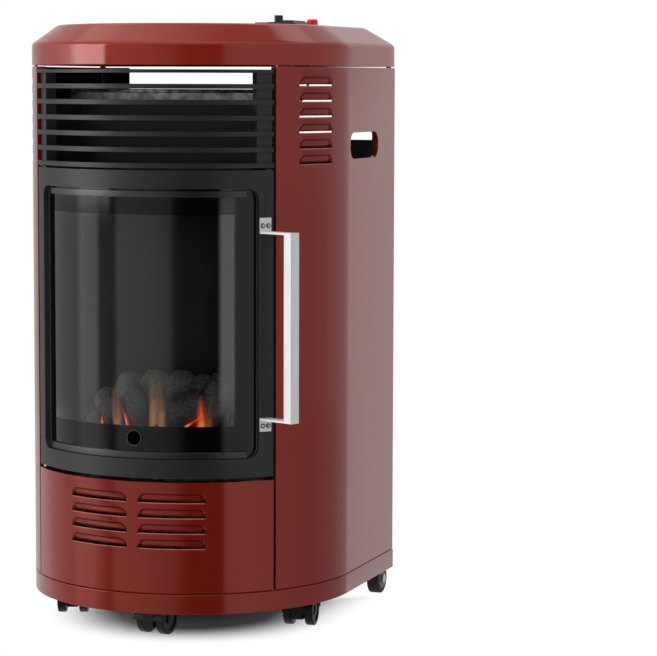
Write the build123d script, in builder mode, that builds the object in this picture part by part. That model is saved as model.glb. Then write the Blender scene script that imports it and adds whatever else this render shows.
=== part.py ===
from build123d import *
import math
import os

os.makedirs("parts", exist_ok=True)

# A gas cabinet heater: a U-shaped steel cabinet on castors, a glazed door on the curved front with a
# flame-effect burner behind it, an outlet grille above and a bay for the gas cylinder behind.
# Millimetres. X is the width, Y runs from front to back, Z is up. The floor is z = 0 and the cabinet's
# bounding box is centred on X and Y. Angles (theta) on the curved front are measured about the
# cabinet's arc axis from the middle of the front, positive towards +X.

# ------------------------------------------------------------------------- driving dimensions
# plan of the cabinet
cabinet_width = 400.0
side_depth = 384.0            # front of the curve to the rear edge of the sides
rear_bulge = 48.0             # how far the rear cover stands out behind the sides
bulge_inset = 14.0            # sides of the bulge inside the cabinet's sides
bulge_chamfer = 36.0          # width of its cut corners
bulge_side_length = 28.0
rear_way_height = 92.5        # open height between the rear cover and the top of the sides
vent_margin = 80.0            # middle of a group of vents from the end of the rear cover
sheet = 1.2                   # steel sheet of the cabinet

# heights of the cabinet
plinth_bottom = 38.0
plinth_wall_height = 23.5
plinth_lip_height = 1.7
lower_panel_height = 131.8
door_bottom_gap = 4.5
door_height = 361.5
door_top_gap = 2.5
side_rise = 3.6               # side panels above the grille
lid_gap = 1.5
skirt_height = 26.0
lid_rise = 23.0
lid_inset = 32.0
lid_sheet = 1.5
platform_width = 264.0        # raised square of the base under the cylinder
platform_length = 260.0
platform_rise = 3.0

# grille
slat_count = 6
slat_pitch = 18.4
slat_height = 5.6
slat_depth = 14.0
post_depth = 13.0
post_setback = 4.0            # face of the posts behind the face of the slats
post_width = 20.0
top_bar_height = 4.0
seam = 49.5                   # half angle of the door, grille and lower panel
side_seam = 50.4              # half angle at which the side panels start

# clearances
touch = 0.1                   # between curved faces that lie against each other
seat_gap = 0.3                # under pieces that rest, hook or slip into a place
running = 0.06                # radial clearance of a turning or sliding fit

# door
door_depth = 14.0
door_setback = 0.5            # door face behind the cabinet face
window_half_angle = 44.0
window_bottom = 22.2          # above the foot of the door
window_height = 317.7
window_corner = 13.0
door_skin = 1.2
glass_setback = 8.0           # glass face behind the door face
glass_thickness = 4.0
glass_lap = 7.0               # glass behind the edge of the window
gasket_thickness = 1.2
seat_width = 13.0
bead_top_gap = 2.3            # below the upper edge of the window
bead_top_height = 7.6
bead_bottom_height = 8.0
bead_depth = 3.5
sight_port_radius = 10.0
sight_port_rim = 1.5
sight_port_height = 46.5      # above the foot of the door
hinge_angle = -47.5
hinge_setback = 7.0           # hinge axis behind the cabinet face
hinge_pin_radius = 2.5
hinge_pin_reach = 8.0         # into the door

# handle
handle_angle = 46.3
handle_bar_width = 13.5
handle_bar_depth = 14.0
handle_bar_angle = 49.8
handle_reach = 40.0           # middle of the bar outside the cabinet's face
handle_bottom = 67.5          # underside of the lower arm above the foot of the door
handle_length = 222.5
handle_strap = 2.5
tab_width = 14.5
tab_height = 16.0
tab_thickness = 1.6
screw_radius = 1.6
screw_head_radius = 2.9
screw_spacing = 7.2

# louvres
louvre_height = 9.6
louvre_depth = 4.0            # pressed inwards at the foot
louvre_slot = 1.8             # open below the foot
louvre_corner = 3.6
louvre_skin = 0.8             # the pressed sheet is stretched thinner
front_louvre_rows = 4
front_louvre_pitch = 18.2
front_louvre_bottom = 53.2    # lowest louvre above the foot of the panel
front_louvre_from = 2.0
front_louvre_to = 25.5
side_louvre_rows = 6
side_louvre_pitch = 18.4
side_louvre_drop = 12.9       # highest louvre below the top of the side
side_louvre_from = 60.0
side_louvre_to = 77.0

# carrying holes in the sides
carry_y = 260.5               # behind the front of the cabinet
carry_drop = 79.0             # below the top of the side
carry_length = 107.0
carry_height = 32.0
carry_corner = 14.0
carry_rim = 5.0

# running gear
wheel_radius = 19.0
castor_wheel_width = 11.0
castor_wheel_spacing = 27.0
castor_trail = 14.0
castor_stem_radius = 5.0
castor_axle_radius = 3.0
hood_gap = 1.3
hood_sheet = 1.6
rear_wheel_width = 16.0
rear_wheel_inset = 26.0       # wheel centre inside the cabinet side
rear_wheel_back = 12.0        # wheel centre behind the rear edge of the sides
rear_hub_radius = 12.0
rear_axle_radius = 4.0
bracket_width = 26.0          # foot of a rear wheel's bracket
bracket_flange = 20.0
front_castor_back = 56.0      # swivel axes behind the front of the cabinet
side_castor_back = 162.0
side_castor_inset = 50.0      # swivel axes inside the cabinet's sides

# firebox, shield and burner
shield_setback = 112.0        # behind the front of the cabinet
shield_inset = 72.0           # edges of the shield inside the cabinet's sides
shield_drop = 28.5            # below the top of the sides
shield_sheet = 1.0
shield_foot = 15.0
shield_tab_height = 14.0
shelf_rise = 28.5             # shelf above the foot of the door
firebox_drop = 16.0           # top of the firebox below the top of the shield
firebox_gap = 11.0            # firebox back in front of the shield
firebox_back_inset = 92.0     # its back corners inside the cabinet's sides
firebox_mouth_angle = 44.0
tray_gap = 20.0               # on each side of the burner tray, at the back
tray_depth = 50.0
tray_front_height = 9.0
tray_rise = 52.0
stone_size = 21.0
stone_thickness = 16.0
stone_gap = 0.8
tube_drop = 16.0              # axis of the mixing tube below the shelf
tube_radius = 9.0
tube_wall = 1.2
gas_pipe_radius = 4.0
pilot_pipe_radius = 2.0
lead_radius = 1.5

# controls on the lid
control_y = 250.0             # behind the front of the cabinet
valve_inset = 109.0           # from the cabinet's right side
igniter_inset = 65.0
bezel_width = 57.0
bezel_depth = 46.0
bezel_height = 4.5
block_height = 7.0
knob_radius = 13.5
knob_grip_width = 10.3
knob_height = 13.5            # top of the grip above the lid
knob_travel = 3.0
stem_radius = 3.5
button_radius = 6.9
button_height = 8.5
button_travel = 6.0
valve_size = 34.0
valve_height = 28.0
valve_drop = 8.5              # valve top under the lid's underside
inlet_radius = 8.3
inlet_length = 16.0
inlet_drop = 48.0             # axis of the hose stub below the middle of the valve
inlet_bend = 14.0
inlet_pipe_radius = 7.0

# ------------------------------------------------------------------------- derived places
radius = cabinet_width / 2
front_y = -(side_depth + rear_bulge) / 2
arc_y = front_y + radius
side_end_y = front_y + side_depth
rear_y = front_y + side_depth + rear_bulge
inner = radius - sheet
door_radius = radius - door_setback
door_inner = door_radius - door_depth

plinth_top = plinth_bottom + plinth_wall_height
panel_bottom = plinth_top + plinth_lip_height
lower_panel_top = panel_bottom + lower_panel_height
door_bottom = lower_panel_top + door_bottom_gap
door_top = door_bottom + door_height
grille_bottom = door_top + door_top_gap
grille_top = grille_bottom + slat_count * slat_pitch + top_bar_height
side_top = grille_top + side_rise
lid_bottom = side_top + lid_gap
skirt_top = lid_bottom + skirt_height
lid_top = skirt_top + lid_rise
lid_underside = lid_top - lid_sheet

tray_top = plinth_bottom + 12.0
tray_underside = tray_top - sheet
tray_radius = inner - seat_gap

bulge_width = cabinet_width - 2 * bulge_inset
bulge_face_width = bulge_width - 2 * bulge_chamfer
shield_width = cabinet_width - 2 * shield_inset
shield_top = side_top - shield_drop
shelf_height = door_bottom + shelf_rise
shelf_top = shelf_height + sheet
firebox_height = shield_top - firebox_drop - shelf_top
firebox_back_width = cabinet_width - 2 * firebox_back_inset
tray_width = firebox_back_width - 2 * tray_gap
valve_x = radius - valve_inset
igniter_x = radius - igniter_inset
side_castor_x = radius - side_castor_inset
castor_places = {             # name: x, distance behind the front, heading of the trail in degrees
    "front": (0.0, front_castor_back, 82.0),
    "right": (side_castor_x, side_castor_back, 96.0),
    "left": (-side_castor_x, side_castor_back, -71.0),
}

arc_axis = Axis((0, arc_y, 0), (0, 0, 1))


# ------------------------------------------------------------------------- helpers
def at(theta, r):
    """Plan position at the angle theta and the distance r from the arc axis."""
    return (r * math.sin(math.radians(theta)), arc_y - r * math.cos(math.radians(theta)))


def arc(length, r):
    """Angle in degrees that an arc of this length spans at radius r."""
    return math.degrees(length / r)


def level(height):
    """Horizontal plane at a height."""
    return Plane.XY.offset(height)


def radial_plane(theta):
    """Upright plane through the arc axis: local x is the distance from it, local y is the height."""
    angle = math.radians(theta)
    return Plane(
        origin=(0, arc_y, 0),
        x_dir=(math.sin(angle), -math.cos(angle), 0),
        z_dir=(-math.cos(angle), -math.sin(angle), 0),
    )


def facing_plane(theta, r, height):
    """Plane that faces outwards from the curved front, at the distance r from the arc axis."""
    angle = math.radians(theta)
    x, y = at(theta, r)
    return Plane(
        origin=(x, y, height),
        x_dir=(math.cos(angle), math.sin(angle), 0),
        z_dir=(math.sin(angle), -math.cos(angle), 0),
    )


def side_plane(x):
    """Plane that faces +X at the distance x: local x is Y and local y is the height."""
    return Plane(origin=(x, 0, 0), x_dir=(0, 1, 0), z_dir=(1, 0, 0))


def back_plane(y):
    """Plane that faces +Y at the distance y: local x is -X and local y is the height."""
    return Plane(origin=(0, y, 0), x_dir=(-1, 0, 0), z_dir=(0, 1, 0))


def u_shape(r, y_back):
    """Half circle about the arc axis with straight sides that run back to y_back."""
    with BuildSketch() as shape:
        with BuildLine():
            ThreePointArc((-r, arc_y), (0, arc_y - r), (r, arc_y))
            Polyline((r, arc_y), (r, y_back), (-r, y_back), (-r, arc_y))
        make_face()
    return shape.sketch


def bulge_shape(inset):
    """Plan of the part that stands out behind the sides, with its corners cut off."""
    half = bulge_width / 2
    face = bulge_face_width / 2
    y_side = side_end_y + bulge_side_length
    with BuildSketch() as shape:
        with BuildLine():
            Polyline(
                (-half, arc_y), (-half, y_side), (-face, rear_y), (face, rear_y),
                (half, y_side), (half, arc_y), close=True,
            )
        make_face()
        if inset > 0:
            offset(amount=-inset, kind=Kind.INTERSECTION)
    return shape.sketch


def wedge(theta0, theta1, reach):
    """Plan sector between two angles about the arc axis, out to the distance reach."""
    with BuildSketch() as shape:
        with BuildLine():
            start = at(theta0, reach)
            end = at(theta1, reach)
            middle = at((theta0 + theta1) / 2, reach)
            Line((0, arc_y), start)
            ThreePointArc(start, middle, end)
            Line(end, (0, arc_y))
        make_face()
    return shape.sketch


def ring_block(r0, r1, z0, z1, theta0, theta1):
    """Curved block between two radii, two heights and two angles on the front."""
    with BuildPart() as block:
        with BuildSketch(radial_plane(theta0)):
            with Locations(((r0 + r1) / 2, (z0 + z1) / 2)):
                Rectangle(r1 - r0, z1 - z0)
        revolve(axis=arc_axis, revolution_arc=theta1 - theta0)
    return block.part


def rounded_block(r0, r1, z0, z1, half_angle, corner):
    """Curved block, symmetrical about the middle of the front, with its four corners rounded."""
    with BuildPart() as block:
        add(ring_block(r0, r1, z0, z1, -half_angle, half_angle))
        sides = block.edges().filter_by(GeomType.LINE).filter_by(Axis.Z, reverse=True)
        fillet(sides, radius=corner)
    return block.part


def ring_profile(points, theta0, theta1):
    """Outline of (radius, height) points turned about the arc axis from theta0 to theta1."""
    with BuildPart() as block:
        with BuildSketch(radial_plane(theta0)):
            with BuildLine():
                Polyline(*points, close=True)
            make_face()
        revolve(axis=arc_axis, revolution_arc=theta1 - theta0)
    return block.part


def louvre_form(theta0, theta1, z0, skin):
    """Wedge that a louvre presses into the sheet: its outside, or with a skin its back."""
    steepness = (louvre_height - louvre_slot) / louvre_depth
    lean = radius - skin * math.hypot(1, steepness) / steepness    # where the leaf reaches its top height
    face = radius + sheet
    foot = lean - louvre_height / steepness
    top = z0 + louvre_height + steepness * (face - lean)
    with BuildPart() as form:
        add(ring_profile([(foot, z0), (face, z0), (face, top)],
                         theta0 - arc(skin, radius), theta1 + arc(skin, radius)))
        sloping = form.edges().filter_by(GeomType.LINE).filter_by(Axis.Z, reverse=True)
        fillet(sloping.filter_by(lambda edge: edge.length > louvre_height), radius=louvre_corner + skin)
    return form.part


def press_louvre(theta0, theta1, z0):
    """Presses a louvre into the sheet being built: adds the skin behind the wedge, takes the wedge out."""
    with BuildPart() as pocket:
        add(louvre_form(theta0, theta1, z0, louvre_skin))
        for r0, z1 in ((radius - sheet / 2, z0 + louvre_height * 3), (inner - louvre_height, z0 + louvre_slot)):
            add(ring_block(r0, radius + sheet * 2, z0 - sheet, z1, theta0 - 5, theta1 + 5), mode=Mode.SUBTRACT)
    add(pocket.part)
    add(louvre_form(theta0, theta1, z0, 0.0), mode=Mode.SUBTRACT)


def pipe_run(points, radii, r):
    """Solid round bar along straight runs joined by tangent arcs."""
    with BuildPart() as bar:
        with BuildLine() as path:
            FilletPolyline(*points, radius=radii)
        with BuildSketch(Plane(origin=path.line @ 0, z_dir=path.line % 0)):
            Circle(r)
        sweep()
    return bar.part


# ------------------------------------------------------------------------- base
with BuildPart() as base_plinth:
    with BuildSketch(level(plinth_bottom)):
        add(u_shape(radius, side_end_y))
        add(u_shape(inner, side_end_y), mode=Mode.SUBTRACT)
    extrude(amount=plinth_wall_height)
    with BuildSketch(level(plinth_top - sheet)):
        add(u_shape(radius, side_end_y))
        add(u_shape(radius - 14.0, side_end_y), mode=Mode.SUBTRACT)
    extrude(amount=sheet)
    with BuildSketch(level(plinth_top)):
        add(u_shape(radius - plinth_lip_height, side_end_y))
        add(u_shape(radius - 14.0, side_end_y), mode=Mode.SUBTRACT)
    extrude(amount=plinth_lip_height)
base_plinth.part.label = "base_plinth"
export_step(base_plinth.part, "parts/base_plinth.step")

tray_rim = plinth_top - sheet - seat_gap - tray_top
rear_rim_top = panel_bottom - 1.0
boss_bottom = wheel_radius * 2 + 3.4
stem_top = tray_underside - 1.8
platform_corner = 30.0
platform_front_gap = 17.0     # between the shield's foot and the platform
shield_y = front_y + shield_setback
platform_y = shield_y + shield_foot + platform_front_gap + platform_length / 2
with BuildPart() as base_tray:
    with BuildSketch(level(tray_underside)):
        add(u_shape(tray_radius, side_end_y))
        add(bulge_shape(0))
    extrude(amount=sheet)
    with BuildSketch(level(tray_top)):
        add(u_shape(tray_radius, side_end_y))
        add(u_shape(tray_radius - sheet, side_end_y), mode=Mode.SUBTRACT)
    extrude(amount=tray_rim)
    with BuildSketch(level(tray_top)):
        add(bulge_shape(0))
        add(bulge_shape(sheet), mode=Mode.SUBTRACT)
        with Locations((0, side_end_y + seat_gap)):
            Rectangle(cabinet_width * 2, side_depth * 2, align=(Align.CENTER, Align.MAX), mode=Mode.SUBTRACT)
    extrude(amount=rear_rim_top - tray_top)
    with BuildSketch(level(tray_top)):
        with Locations((0, platform_y)):
            RectangleRounded(platform_width, platform_length, platform_corner)
    extrude(amount=platform_rise)
    with BuildSketch(level(tray_underside)):
        with Locations((0, platform_y)):
            RectangleRounded(platform_width - 2 * sheet, platform_length - 2 * sheet, platform_corner - sheet)
    extrude(amount=platform_rise, mode=Mode.SUBTRACT)
    for castor_x, castor_back, heading in castor_places.values():
        with BuildSketch(level(boss_bottom)):
            with Locations((castor_x, front_y + castor_back)):
                Circle(castor_stem_radius + 4.0)
                Circle(castor_stem_radius + running, mode=Mode.SUBTRACT)
        extrude(amount=tray_underside - boss_bottom)
base_tray.part.label = "base_tray"
export_step(base_tray.part, "parts/base_tray.step")


# ------------------------------------------------------------------------- cabinet shell
def front_flange(z0, z1, side):
    """Return bend along the front edge of a side panel."""
    theta = side * side_seam
    bend = arc(sheet, inner)
    low = min(theta, theta + side * bend)
    return ring_block(radius - 12.0, radius, z0, z1, low, low + bend)


with BuildPart() as side_panel_right:
    with BuildSketch(level(panel_bottom)):
        add(u_shape(radius, side_end_y))
        add(u_shape(inner, side_end_y + sheet), mode=Mode.SUBTRACT)
        add(wedge(-180.0 + 1.0, side_seam, cabinet_width * 2), mode=Mode.SUBTRACT)
        with Locations((0, side_end_y)):
            Rectangle(cabinet_width, side_depth * 2, align=(Align.MAX, Align.CENTER), mode=Mode.SUBTRACT)
        with Locations((radius, side_end_y)):
            Rectangle(31.0, sheet, align=(Align.MAX, Align.MAX))
    extrude(amount=side_top - panel_bottom)
    rear_corners = side_panel_right.edges().filter_by(Axis.Z)
    outer_bend = rear_corners.filter_by_position(Axis.X, radius - 0.01, radius + 0.01)
    inner_bend = rear_corners.filter_by_position(Axis.X, inner - 0.01, inner + 0.01)
    fillet(outer_bend.sort_by(Axis.Y)[-1], radius=sheet * 3)
    fillet(inner_bend.sort_by(Axis.Y)[-1], radius=sheet * 2)
    add(front_flange(panel_bottom, side_top, 1))
    with BuildSketch(level(panel_bottom)):
        add(u_shape(radius - sheet / 2, side_end_y - sheet * 3))
        add(u_shape(radius - 14.0, side_end_y), mode=Mode.SUBTRACT)
        add(wedge(-180.0 + 1.0, side_seam, cabinet_width * 2), mode=Mode.SUBTRACT)
        with Locations((0, side_end_y)):
            Rectangle(cabinet_width, side_depth * 2, align=(Align.MAX, Align.CENTER), mode=Mode.SUBTRACT)
    extrude(amount=sheet)
    hole_middle = (front_y + carry_y, side_top - carry_drop - carry_height / 2)
    with BuildSketch(side_plane(inner - carry_rim)):
        with Locations(hole_middle):
            RectangleRounded(carry_length + 2 * sheet, carry_height + 2 * sheet, carry_corner + sheet)
    extrude(amount=carry_rim)
    with BuildSketch(side_plane(inner - carry_rim - sheet)):
        with Locations(hole_middle):
            RectangleRounded(carry_length, carry_height, carry_corner)
    extrude(amount=carry_rim + sheet * 4, mode=Mode.SUBTRACT)
    for row in range(side_louvre_rows):
        louvre_z = side_top - side_louvre_drop - louvre_height - row * side_louvre_pitch
        press_louvre(side_louvre_from, side_louvre_to, louvre_z)
side_panel_right.part.label = "side_panel_right"
export_step(side_panel_right.part, "parts/side_panel_right.step")

with BuildPart() as side_panel_left:
    mirror(side_panel_right.part, about=Plane.YZ)
side_panel_left.part.label = "side_panel_left"
export_step(side_panel_left.part, "parts/side_panel_left.step")


def flange_ear(z0, z1, side):
    """Screw ear that lies behind the front flange of a side panel."""
    ear_outer = radius - 12.0 - seat_gap
    theta0 = side * (seam - arc(2 * sheet, radius))
    theta1 = side * (side_seam + 2.2)
    return ring_block(ear_outer - sheet, ear_outer, z0, z1, min(theta0, theta1), max(theta0, theta1))


panel_return = radius - 12.0 - seat_gap - sheet
with BuildPart() as lower_front_panel:
    add(ring_block(panel_return, radius, panel_bottom, lower_panel_top, -seam, seam))
    hollow = seam - arc(sheet, inner)
    add(
        ring_block(panel_return - 1, inner, panel_bottom + sheet, lower_panel_top - sheet, -hollow, hollow),
        mode=Mode.SUBTRACT,
    )
    for row in range(front_louvre_rows):
        louvre_z = panel_bottom + front_louvre_bottom + row * front_louvre_pitch
        for theta in (-front_louvre_to, front_louvre_from):
            press_louvre(theta, theta + front_louvre_to - front_louvre_from, louvre_z)
    for side in (-1, 1):
        add(flange_ear(panel_bottom + 20, panel_bottom + 40, side))
        add(flange_ear(lower_panel_top - 40, lower_panel_top - 20, side))
    with BuildSketch(level(lower_panel_top - sheet * 2)):
        with Locations(at(hinge_angle, radius - hinge_setback)):
            Circle(hinge_pin_radius + running)
    extrude(amount=sheet * 3, mode=Mode.SUBTRACT)
lower_front_panel.part.label = "lower_front_panel"
export_step(lower_front_panel.part, "parts/lower_front_panel.step")

slat_inner = radius - slat_depth
post_outer = radius - post_setback
post_inner = post_outer - post_depth
post_angle = seam - arc(post_width, post_outer)
with BuildPart() as front_grille:
    for row in range(slat_count):
        slat_z = grille_bottom + row * slat_pitch
        add(ring_block(slat_inner, radius, slat_z, slat_z + slat_height, -seam, seam))
    add(ring_block(slat_inner - 2.0, radius, grille_top - top_bar_height, grille_top, -seam, seam))
    for low, high in ((-seam, -post_angle), (post_angle, seam)):
        add(ring_block(post_inner, post_outer, grille_bottom, grille_top, low, high))
    for side in (-1, 1):
        for ear_z in (grille_bottom + 20, grille_top - 40):
            add(flange_ear(ear_z, ear_z + 20, side))
    with BuildSketch(level(grille_bottom)):
        with Locations(at(hinge_angle, radius - hinge_setback)):
            Circle(hinge_pin_radius + running)
    extrude(amount=16.0, mode=Mode.SUBTRACT)
front_grille.part.label = "front_grille"
export_step(front_grille.part, "parts/front_grille.step")


def lid_solid(skin):
    """Lid body inside the outer face by the thickness skin: a skirt with a sloped cap."""
    with BuildPart() as body:
        with BuildSketch(level(lid_bottom)):
            add(u_shape(radius - skin, side_end_y - skin))
        extrude(amount=skirt_height)
        with BuildSketch(level(skirt_top)):
            add(u_shape(radius - skin, side_end_y - skin))
        with BuildSketch(level(lid_top - skin)):
            add(u_shape(radius - lid_inset - skin, side_end_y - lid_inset - skin))
        loft(ruled=True)
    return body.part


valve_place = (valve_x, front_y + control_y)
igniter_place = (igniter_x, front_y + control_y)
with BuildPart() as top_cover:
    add(lid_solid(0.0))
    add(lid_solid(lid_sheet), mode=Mode.SUBTRACT)
    with BuildSketch(level(lid_underside - 1)):
        with Locations(valve_place):
            Circle(stem_radius + 2.0)
        with Locations(igniter_place):
            Circle(button_radius + seat_gap)
    extrude(amount=lid_sheet + 2, mode=Mode.SUBTRACT)
top_cover.part.label = "top_cover"
export_step(top_cover.part, "parts/top_cover.step")

strap_outer = radius - lid_sheet - touch
strap_bottom = side_top - 26.0
strap_top = skirt_top - 3.0
with BuildPart() as lid_brackets:
    for theta in (-57.0, 53.0):
        add(ring_block(strap_outer - lid_sheet, strap_outer, strap_bottom, strap_top, theta, theta + 4.0))
    with BuildSketch(level(strap_bottom)):
        with Locations((strap_outer - lid_sheet / 2, side_end_y - 22.0)):
            Rectangle(lid_sheet, 15.0)
        with Locations((-strap_outer + lid_sheet / 2, side_end_y - 22.0)):
            Rectangle(lid_sheet, 15.0)
    extrude(amount=strap_top - strap_bottom)
lid_brackets.part.label = "lid_brackets"
export_step(lid_brackets.part, "parts/lid_brackets.step")

cover_bottom = rear_rim_top + seat_gap
cover_top = side_top - rear_way_height
with BuildPart() as rear_cover:
    with BuildSketch(level(cover_bottom)):
        add(bulge_shape(0))
        add(bulge_shape(sheet), mode=Mode.SUBTRACT)
        with Locations((0, side_end_y + seat_gap)):
            Rectangle(cabinet_width * 2, side_depth * 2, align=(Align.CENTER, Align.MAX), mode=Mode.SUBTRACT)
        for side in (-1, 1):
            with Locations((side * (bulge_width / 2 - 7.0), side_end_y + seat_gap + sheet / 2)):
                Rectangle(14.0, sheet)
    extrude(amount=cover_top - cover_bottom)
    with BuildSketch(level(cover_top - sheet)):
        add(bulge_shape(0))
        add(bulge_shape(14.0), mode=Mode.SUBTRACT)
        with Locations((0, side_end_y + seat_gap)):
            Rectangle(cabinet_width * 2, side_depth * 2, align=(Align.CENTER, Align.MAX), mode=Mode.SUBTRACT)
    extrude(amount=sheet)
    with BuildSketch(back_plane(rear_y)):
        with Locations((0, cover_bottom + vent_margin), (0, cover_top - vent_margin)):
            with GridLocations(60.0, 14.0, 4, 5):
                SlotOverall(46.0, 6.0)
    extrude(amount=-sheet * 2, mode=Mode.SUBTRACT)
rear_cover.part.label = "rear_cover"
export_step(rear_cover.part, "parts/rear_cover.step")

# ------------------------------------------------------------------------- door
window_z0 = door_bottom + window_bottom
window_z1 = window_z0 + window_height
glass_outer = door_radius - glass_setback
glass_inner = glass_outer - glass_thickness
seat_radius = glass_outer + touch + gasket_thickness
door_wall = arc(door_skin, door_radius)
seat_angle = window_half_angle + arc(seat_width, glass_outer)
glass_angle = window_half_angle + arc(glass_lap, glass_outer)
hinge_x, hinge_y = at(hinge_angle, radius - hinge_setback)
tab_bottom_low = door_bottom + handle_bottom - tab_height + handle_strap
tab_bottom_high = door_bottom + handle_bottom + handle_length - handle_strap
tab_middles = (tab_bottom_low + (tab_height - handle_strap) / 2,
               tab_bottom_high + (tab_height + handle_strap) / 2)
screw_places = [
    (handle_angle + side * arc(screw_spacing / 2, radius), middle)
    for middle in tab_middles
    for side in (-1, 1)
]

with BuildPart() as door_frame:
    add(ring_block(door_inner, door_radius, door_bottom, door_top, -seam, seam))
    hollow = seam - door_wall
    add(
        ring_block(door_inner - 1, door_radius - door_skin, door_bottom + door_skin,
                   door_top - door_skin, -hollow, hollow),
        mode=Mode.SUBTRACT,
    )
    add(rounded_block(seat_radius, door_radius - door_skin, window_z0 - door_skin, window_z1 + door_skin,
                      window_half_angle + door_wall, window_corner + door_skin))
    add(ring_block(seat_radius, seat_radius + door_skin, window_z0 - seat_width, window_z1 + seat_width,
                   -seat_angle, seat_angle))
    add(
        rounded_block(glass_inner, door_radius + 5, window_z0, window_z1, window_half_angle, window_corner),
        mode=Mode.SUBTRACT,
    )
    for hole_bottom in (door_bottom, door_top - hinge_pin_reach - seat_gap):
        with BuildSketch(level(hole_bottom)):
            with Locations((hinge_x, hinge_y)):
                Circle(hinge_pin_radius + running)
        extrude(amount=hinge_pin_reach + seat_gap, mode=Mode.SUBTRACT)
    for theta, height in screw_places:
        with BuildSketch(facing_plane(theta, seat_radius - 2, height)):
            Circle(screw_radius + running)
        extrude(amount=door_depth + 5, mode=Mode.SUBTRACT)
door_frame.part.label = "door_frame"
export_step(door_frame.part, "parts/door_frame.step")

glass_z0 = window_z0 - glass_lap
glass_z1 = window_z1 + glass_lap
with BuildPart() as door_glass:
    add(ring_block(glass_inner, glass_outer, glass_z0, glass_z1, -glass_angle, glass_angle))
door_glass.part.label = "door_glass"
export_step(door_glass.part, "parts/door_glass.step")

with BuildPart() as glass_gasket:
    add(ring_block(glass_outer + touch, seat_radius, glass_z0, glass_z1, -glass_angle, glass_angle))
    add(
        rounded_block(glass_inner, door_radius, window_z0, window_z1, window_half_angle, window_corner),
        mode=Mode.SUBTRACT,
    )
glass_gasket.part.label = "glass_gasket"
export_step(glass_gasket.part, "parts/glass_gasket.step")

bead_angle = window_half_angle - arc(window_corner, glass_outer)
bead_inner = glass_outer + touch
with BuildPart() as glass_bead_top:
    add(ring_block(bead_inner, bead_inner + bead_depth, window_z1 - bead_top_gap - bead_top_height,
                   window_z1 - bead_top_gap, -bead_angle, bead_angle))
glass_bead_top.part.label = "glass_bead_top"
export_step(glass_bead_top.part, "parts/glass_bead_top.step")

with BuildPart() as glass_bead_bottom:
    add(ring_block(bead_inner, bead_inner + bead_depth, window_z0 + seat_gap,
                   window_z0 + seat_gap + bead_bottom_height, -bead_angle, bead_angle))
glass_bead_bottom.part.label = "glass_bead_bottom"
export_step(glass_bead_bottom.part, "parts/glass_bead_bottom.step")

with BuildPart() as sight_port:
    with BuildSketch(facing_plane(0, glass_outer + touch, door_bottom + sight_port_height)):
        Circle(sight_port_radius)
        Circle(sight_port_radius - sight_port_rim, mode=Mode.SUBTRACT)
    extrude(amount=sight_port_rim)
sight_port.part.label = "sight_port"
export_step(sight_port.part, "parts/sight_port.step")

clip_inner = glass_inner - touch - door_skin
clip_end = seat_angle - touch
with BuildPart() as glass_clips:
    for height in (window_z0 + window_height * 0.25, window_z0 + window_height * 0.75):
        for side in (-1, 1):
            foot0 = side * (window_half_angle + arc(2.0, glass_inner))
            foot1 = side * clip_end
            leg0 = side * (clip_end - arc(door_skin, glass_inner))
            add(ring_block(clip_inner, clip_inner + door_skin, height - 8, height + 8,
                           min(foot0, foot1), max(foot0, foot1)))
            add(ring_block(clip_inner, seat_radius - touch, height - 8, height + 8,
                           min(leg0, foot1), max(leg0, foot1)))
glass_clips.part.label = "glass_clips"
export_step(glass_clips.part, "parts/glass_clips.step")

bar_place = at(handle_bar_angle, radius + handle_reach)
tab_inner = door_radius + touch
tab_half = arc(tab_width / 2, radius)
arm_root = at(handle_angle, tab_inner + seat_gap + tab_thickness / 2)
arm_heading = math.degrees(math.atan2(bar_place[1] - arm_root[1], bar_place[0] - arm_root[0]))
arm_z = (door_bottom + handle_bottom, door_bottom + handle_bottom + handle_length - handle_strap)
with BuildPart() as handle_brackets:
    for height in arm_z:
        with BuildSketch(level(height)):
            with Locations(Location(arm_root, handle_angle)):
                Rectangle(tab_width, tab_thickness)
            with Locations(Location(bar_place, arm_heading)):
                RectangleRounded(handle_bar_width, handle_bar_depth, 2.0)
            make_hull()
        extrude(amount=handle_strap)
    tab_spans = (
        (tab_bottom_low, arm_z[0] + handle_strap),
        (arm_z[1], tab_bottom_high + tab_height + handle_strap),
    )
    for z0, z1 in tab_spans:
        add(ring_block(tab_inner, tab_inner + tab_thickness, z0, z1,
                       handle_angle - tab_half, handle_angle + tab_half))
    for theta, height in screw_places:
        with BuildSketch(facing_plane(theta, door_radius - 2, height)):
            Circle(screw_radius + running)
        extrude(amount=8, mode=Mode.SUBTRACT)
handle_brackets.part.label = "handle_brackets"
export_step(handle_brackets.part, "parts/handle_brackets.step")

with BuildPart() as handle_bar:
    with BuildSketch(level(arm_z[0] + handle_strap)):
        with Locations(Location(bar_place, arm_heading)):
            RectangleRounded(handle_bar_width, handle_bar_depth, 2.0)
    extrude(amount=arm_z[1] - arm_z[0] - handle_strap)
handle_bar.part.label = "handle_bar"
export_step(handle_bar.part, "parts/handle_bar.step")

head_base = tab_inner + tab_thickness + touch
with BuildPart() as handle_screws:
    for theta, height in screw_places:
        with BuildSketch(facing_plane(theta, seat_radius + door_skin + touch, height)):
            Circle(screw_radius)
        extrude(amount=head_base - seat_radius - door_skin)
        with BuildSketch(facing_plane(theta, head_base, height)):
            Circle(screw_head_radius)
        extrude(amount=1.6, taper=20)
handle_screws.part.label = "handle_screws"
export_step(handle_screws.part, "parts/handle_screws.step")

catch_middle = door_bottom + door_height * 0.5
strike_outer = door_inner - touch
with BuildPart() as catch_strike:
    add(ring_block(strike_outer - sheet, strike_outer, catch_middle - 15, catch_middle + 15,
                   seam - 4.2, seam - touch))
catch_strike.part.label = "catch_strike"
export_step(catch_strike.part, "parts/catch_strike.step")

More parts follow.
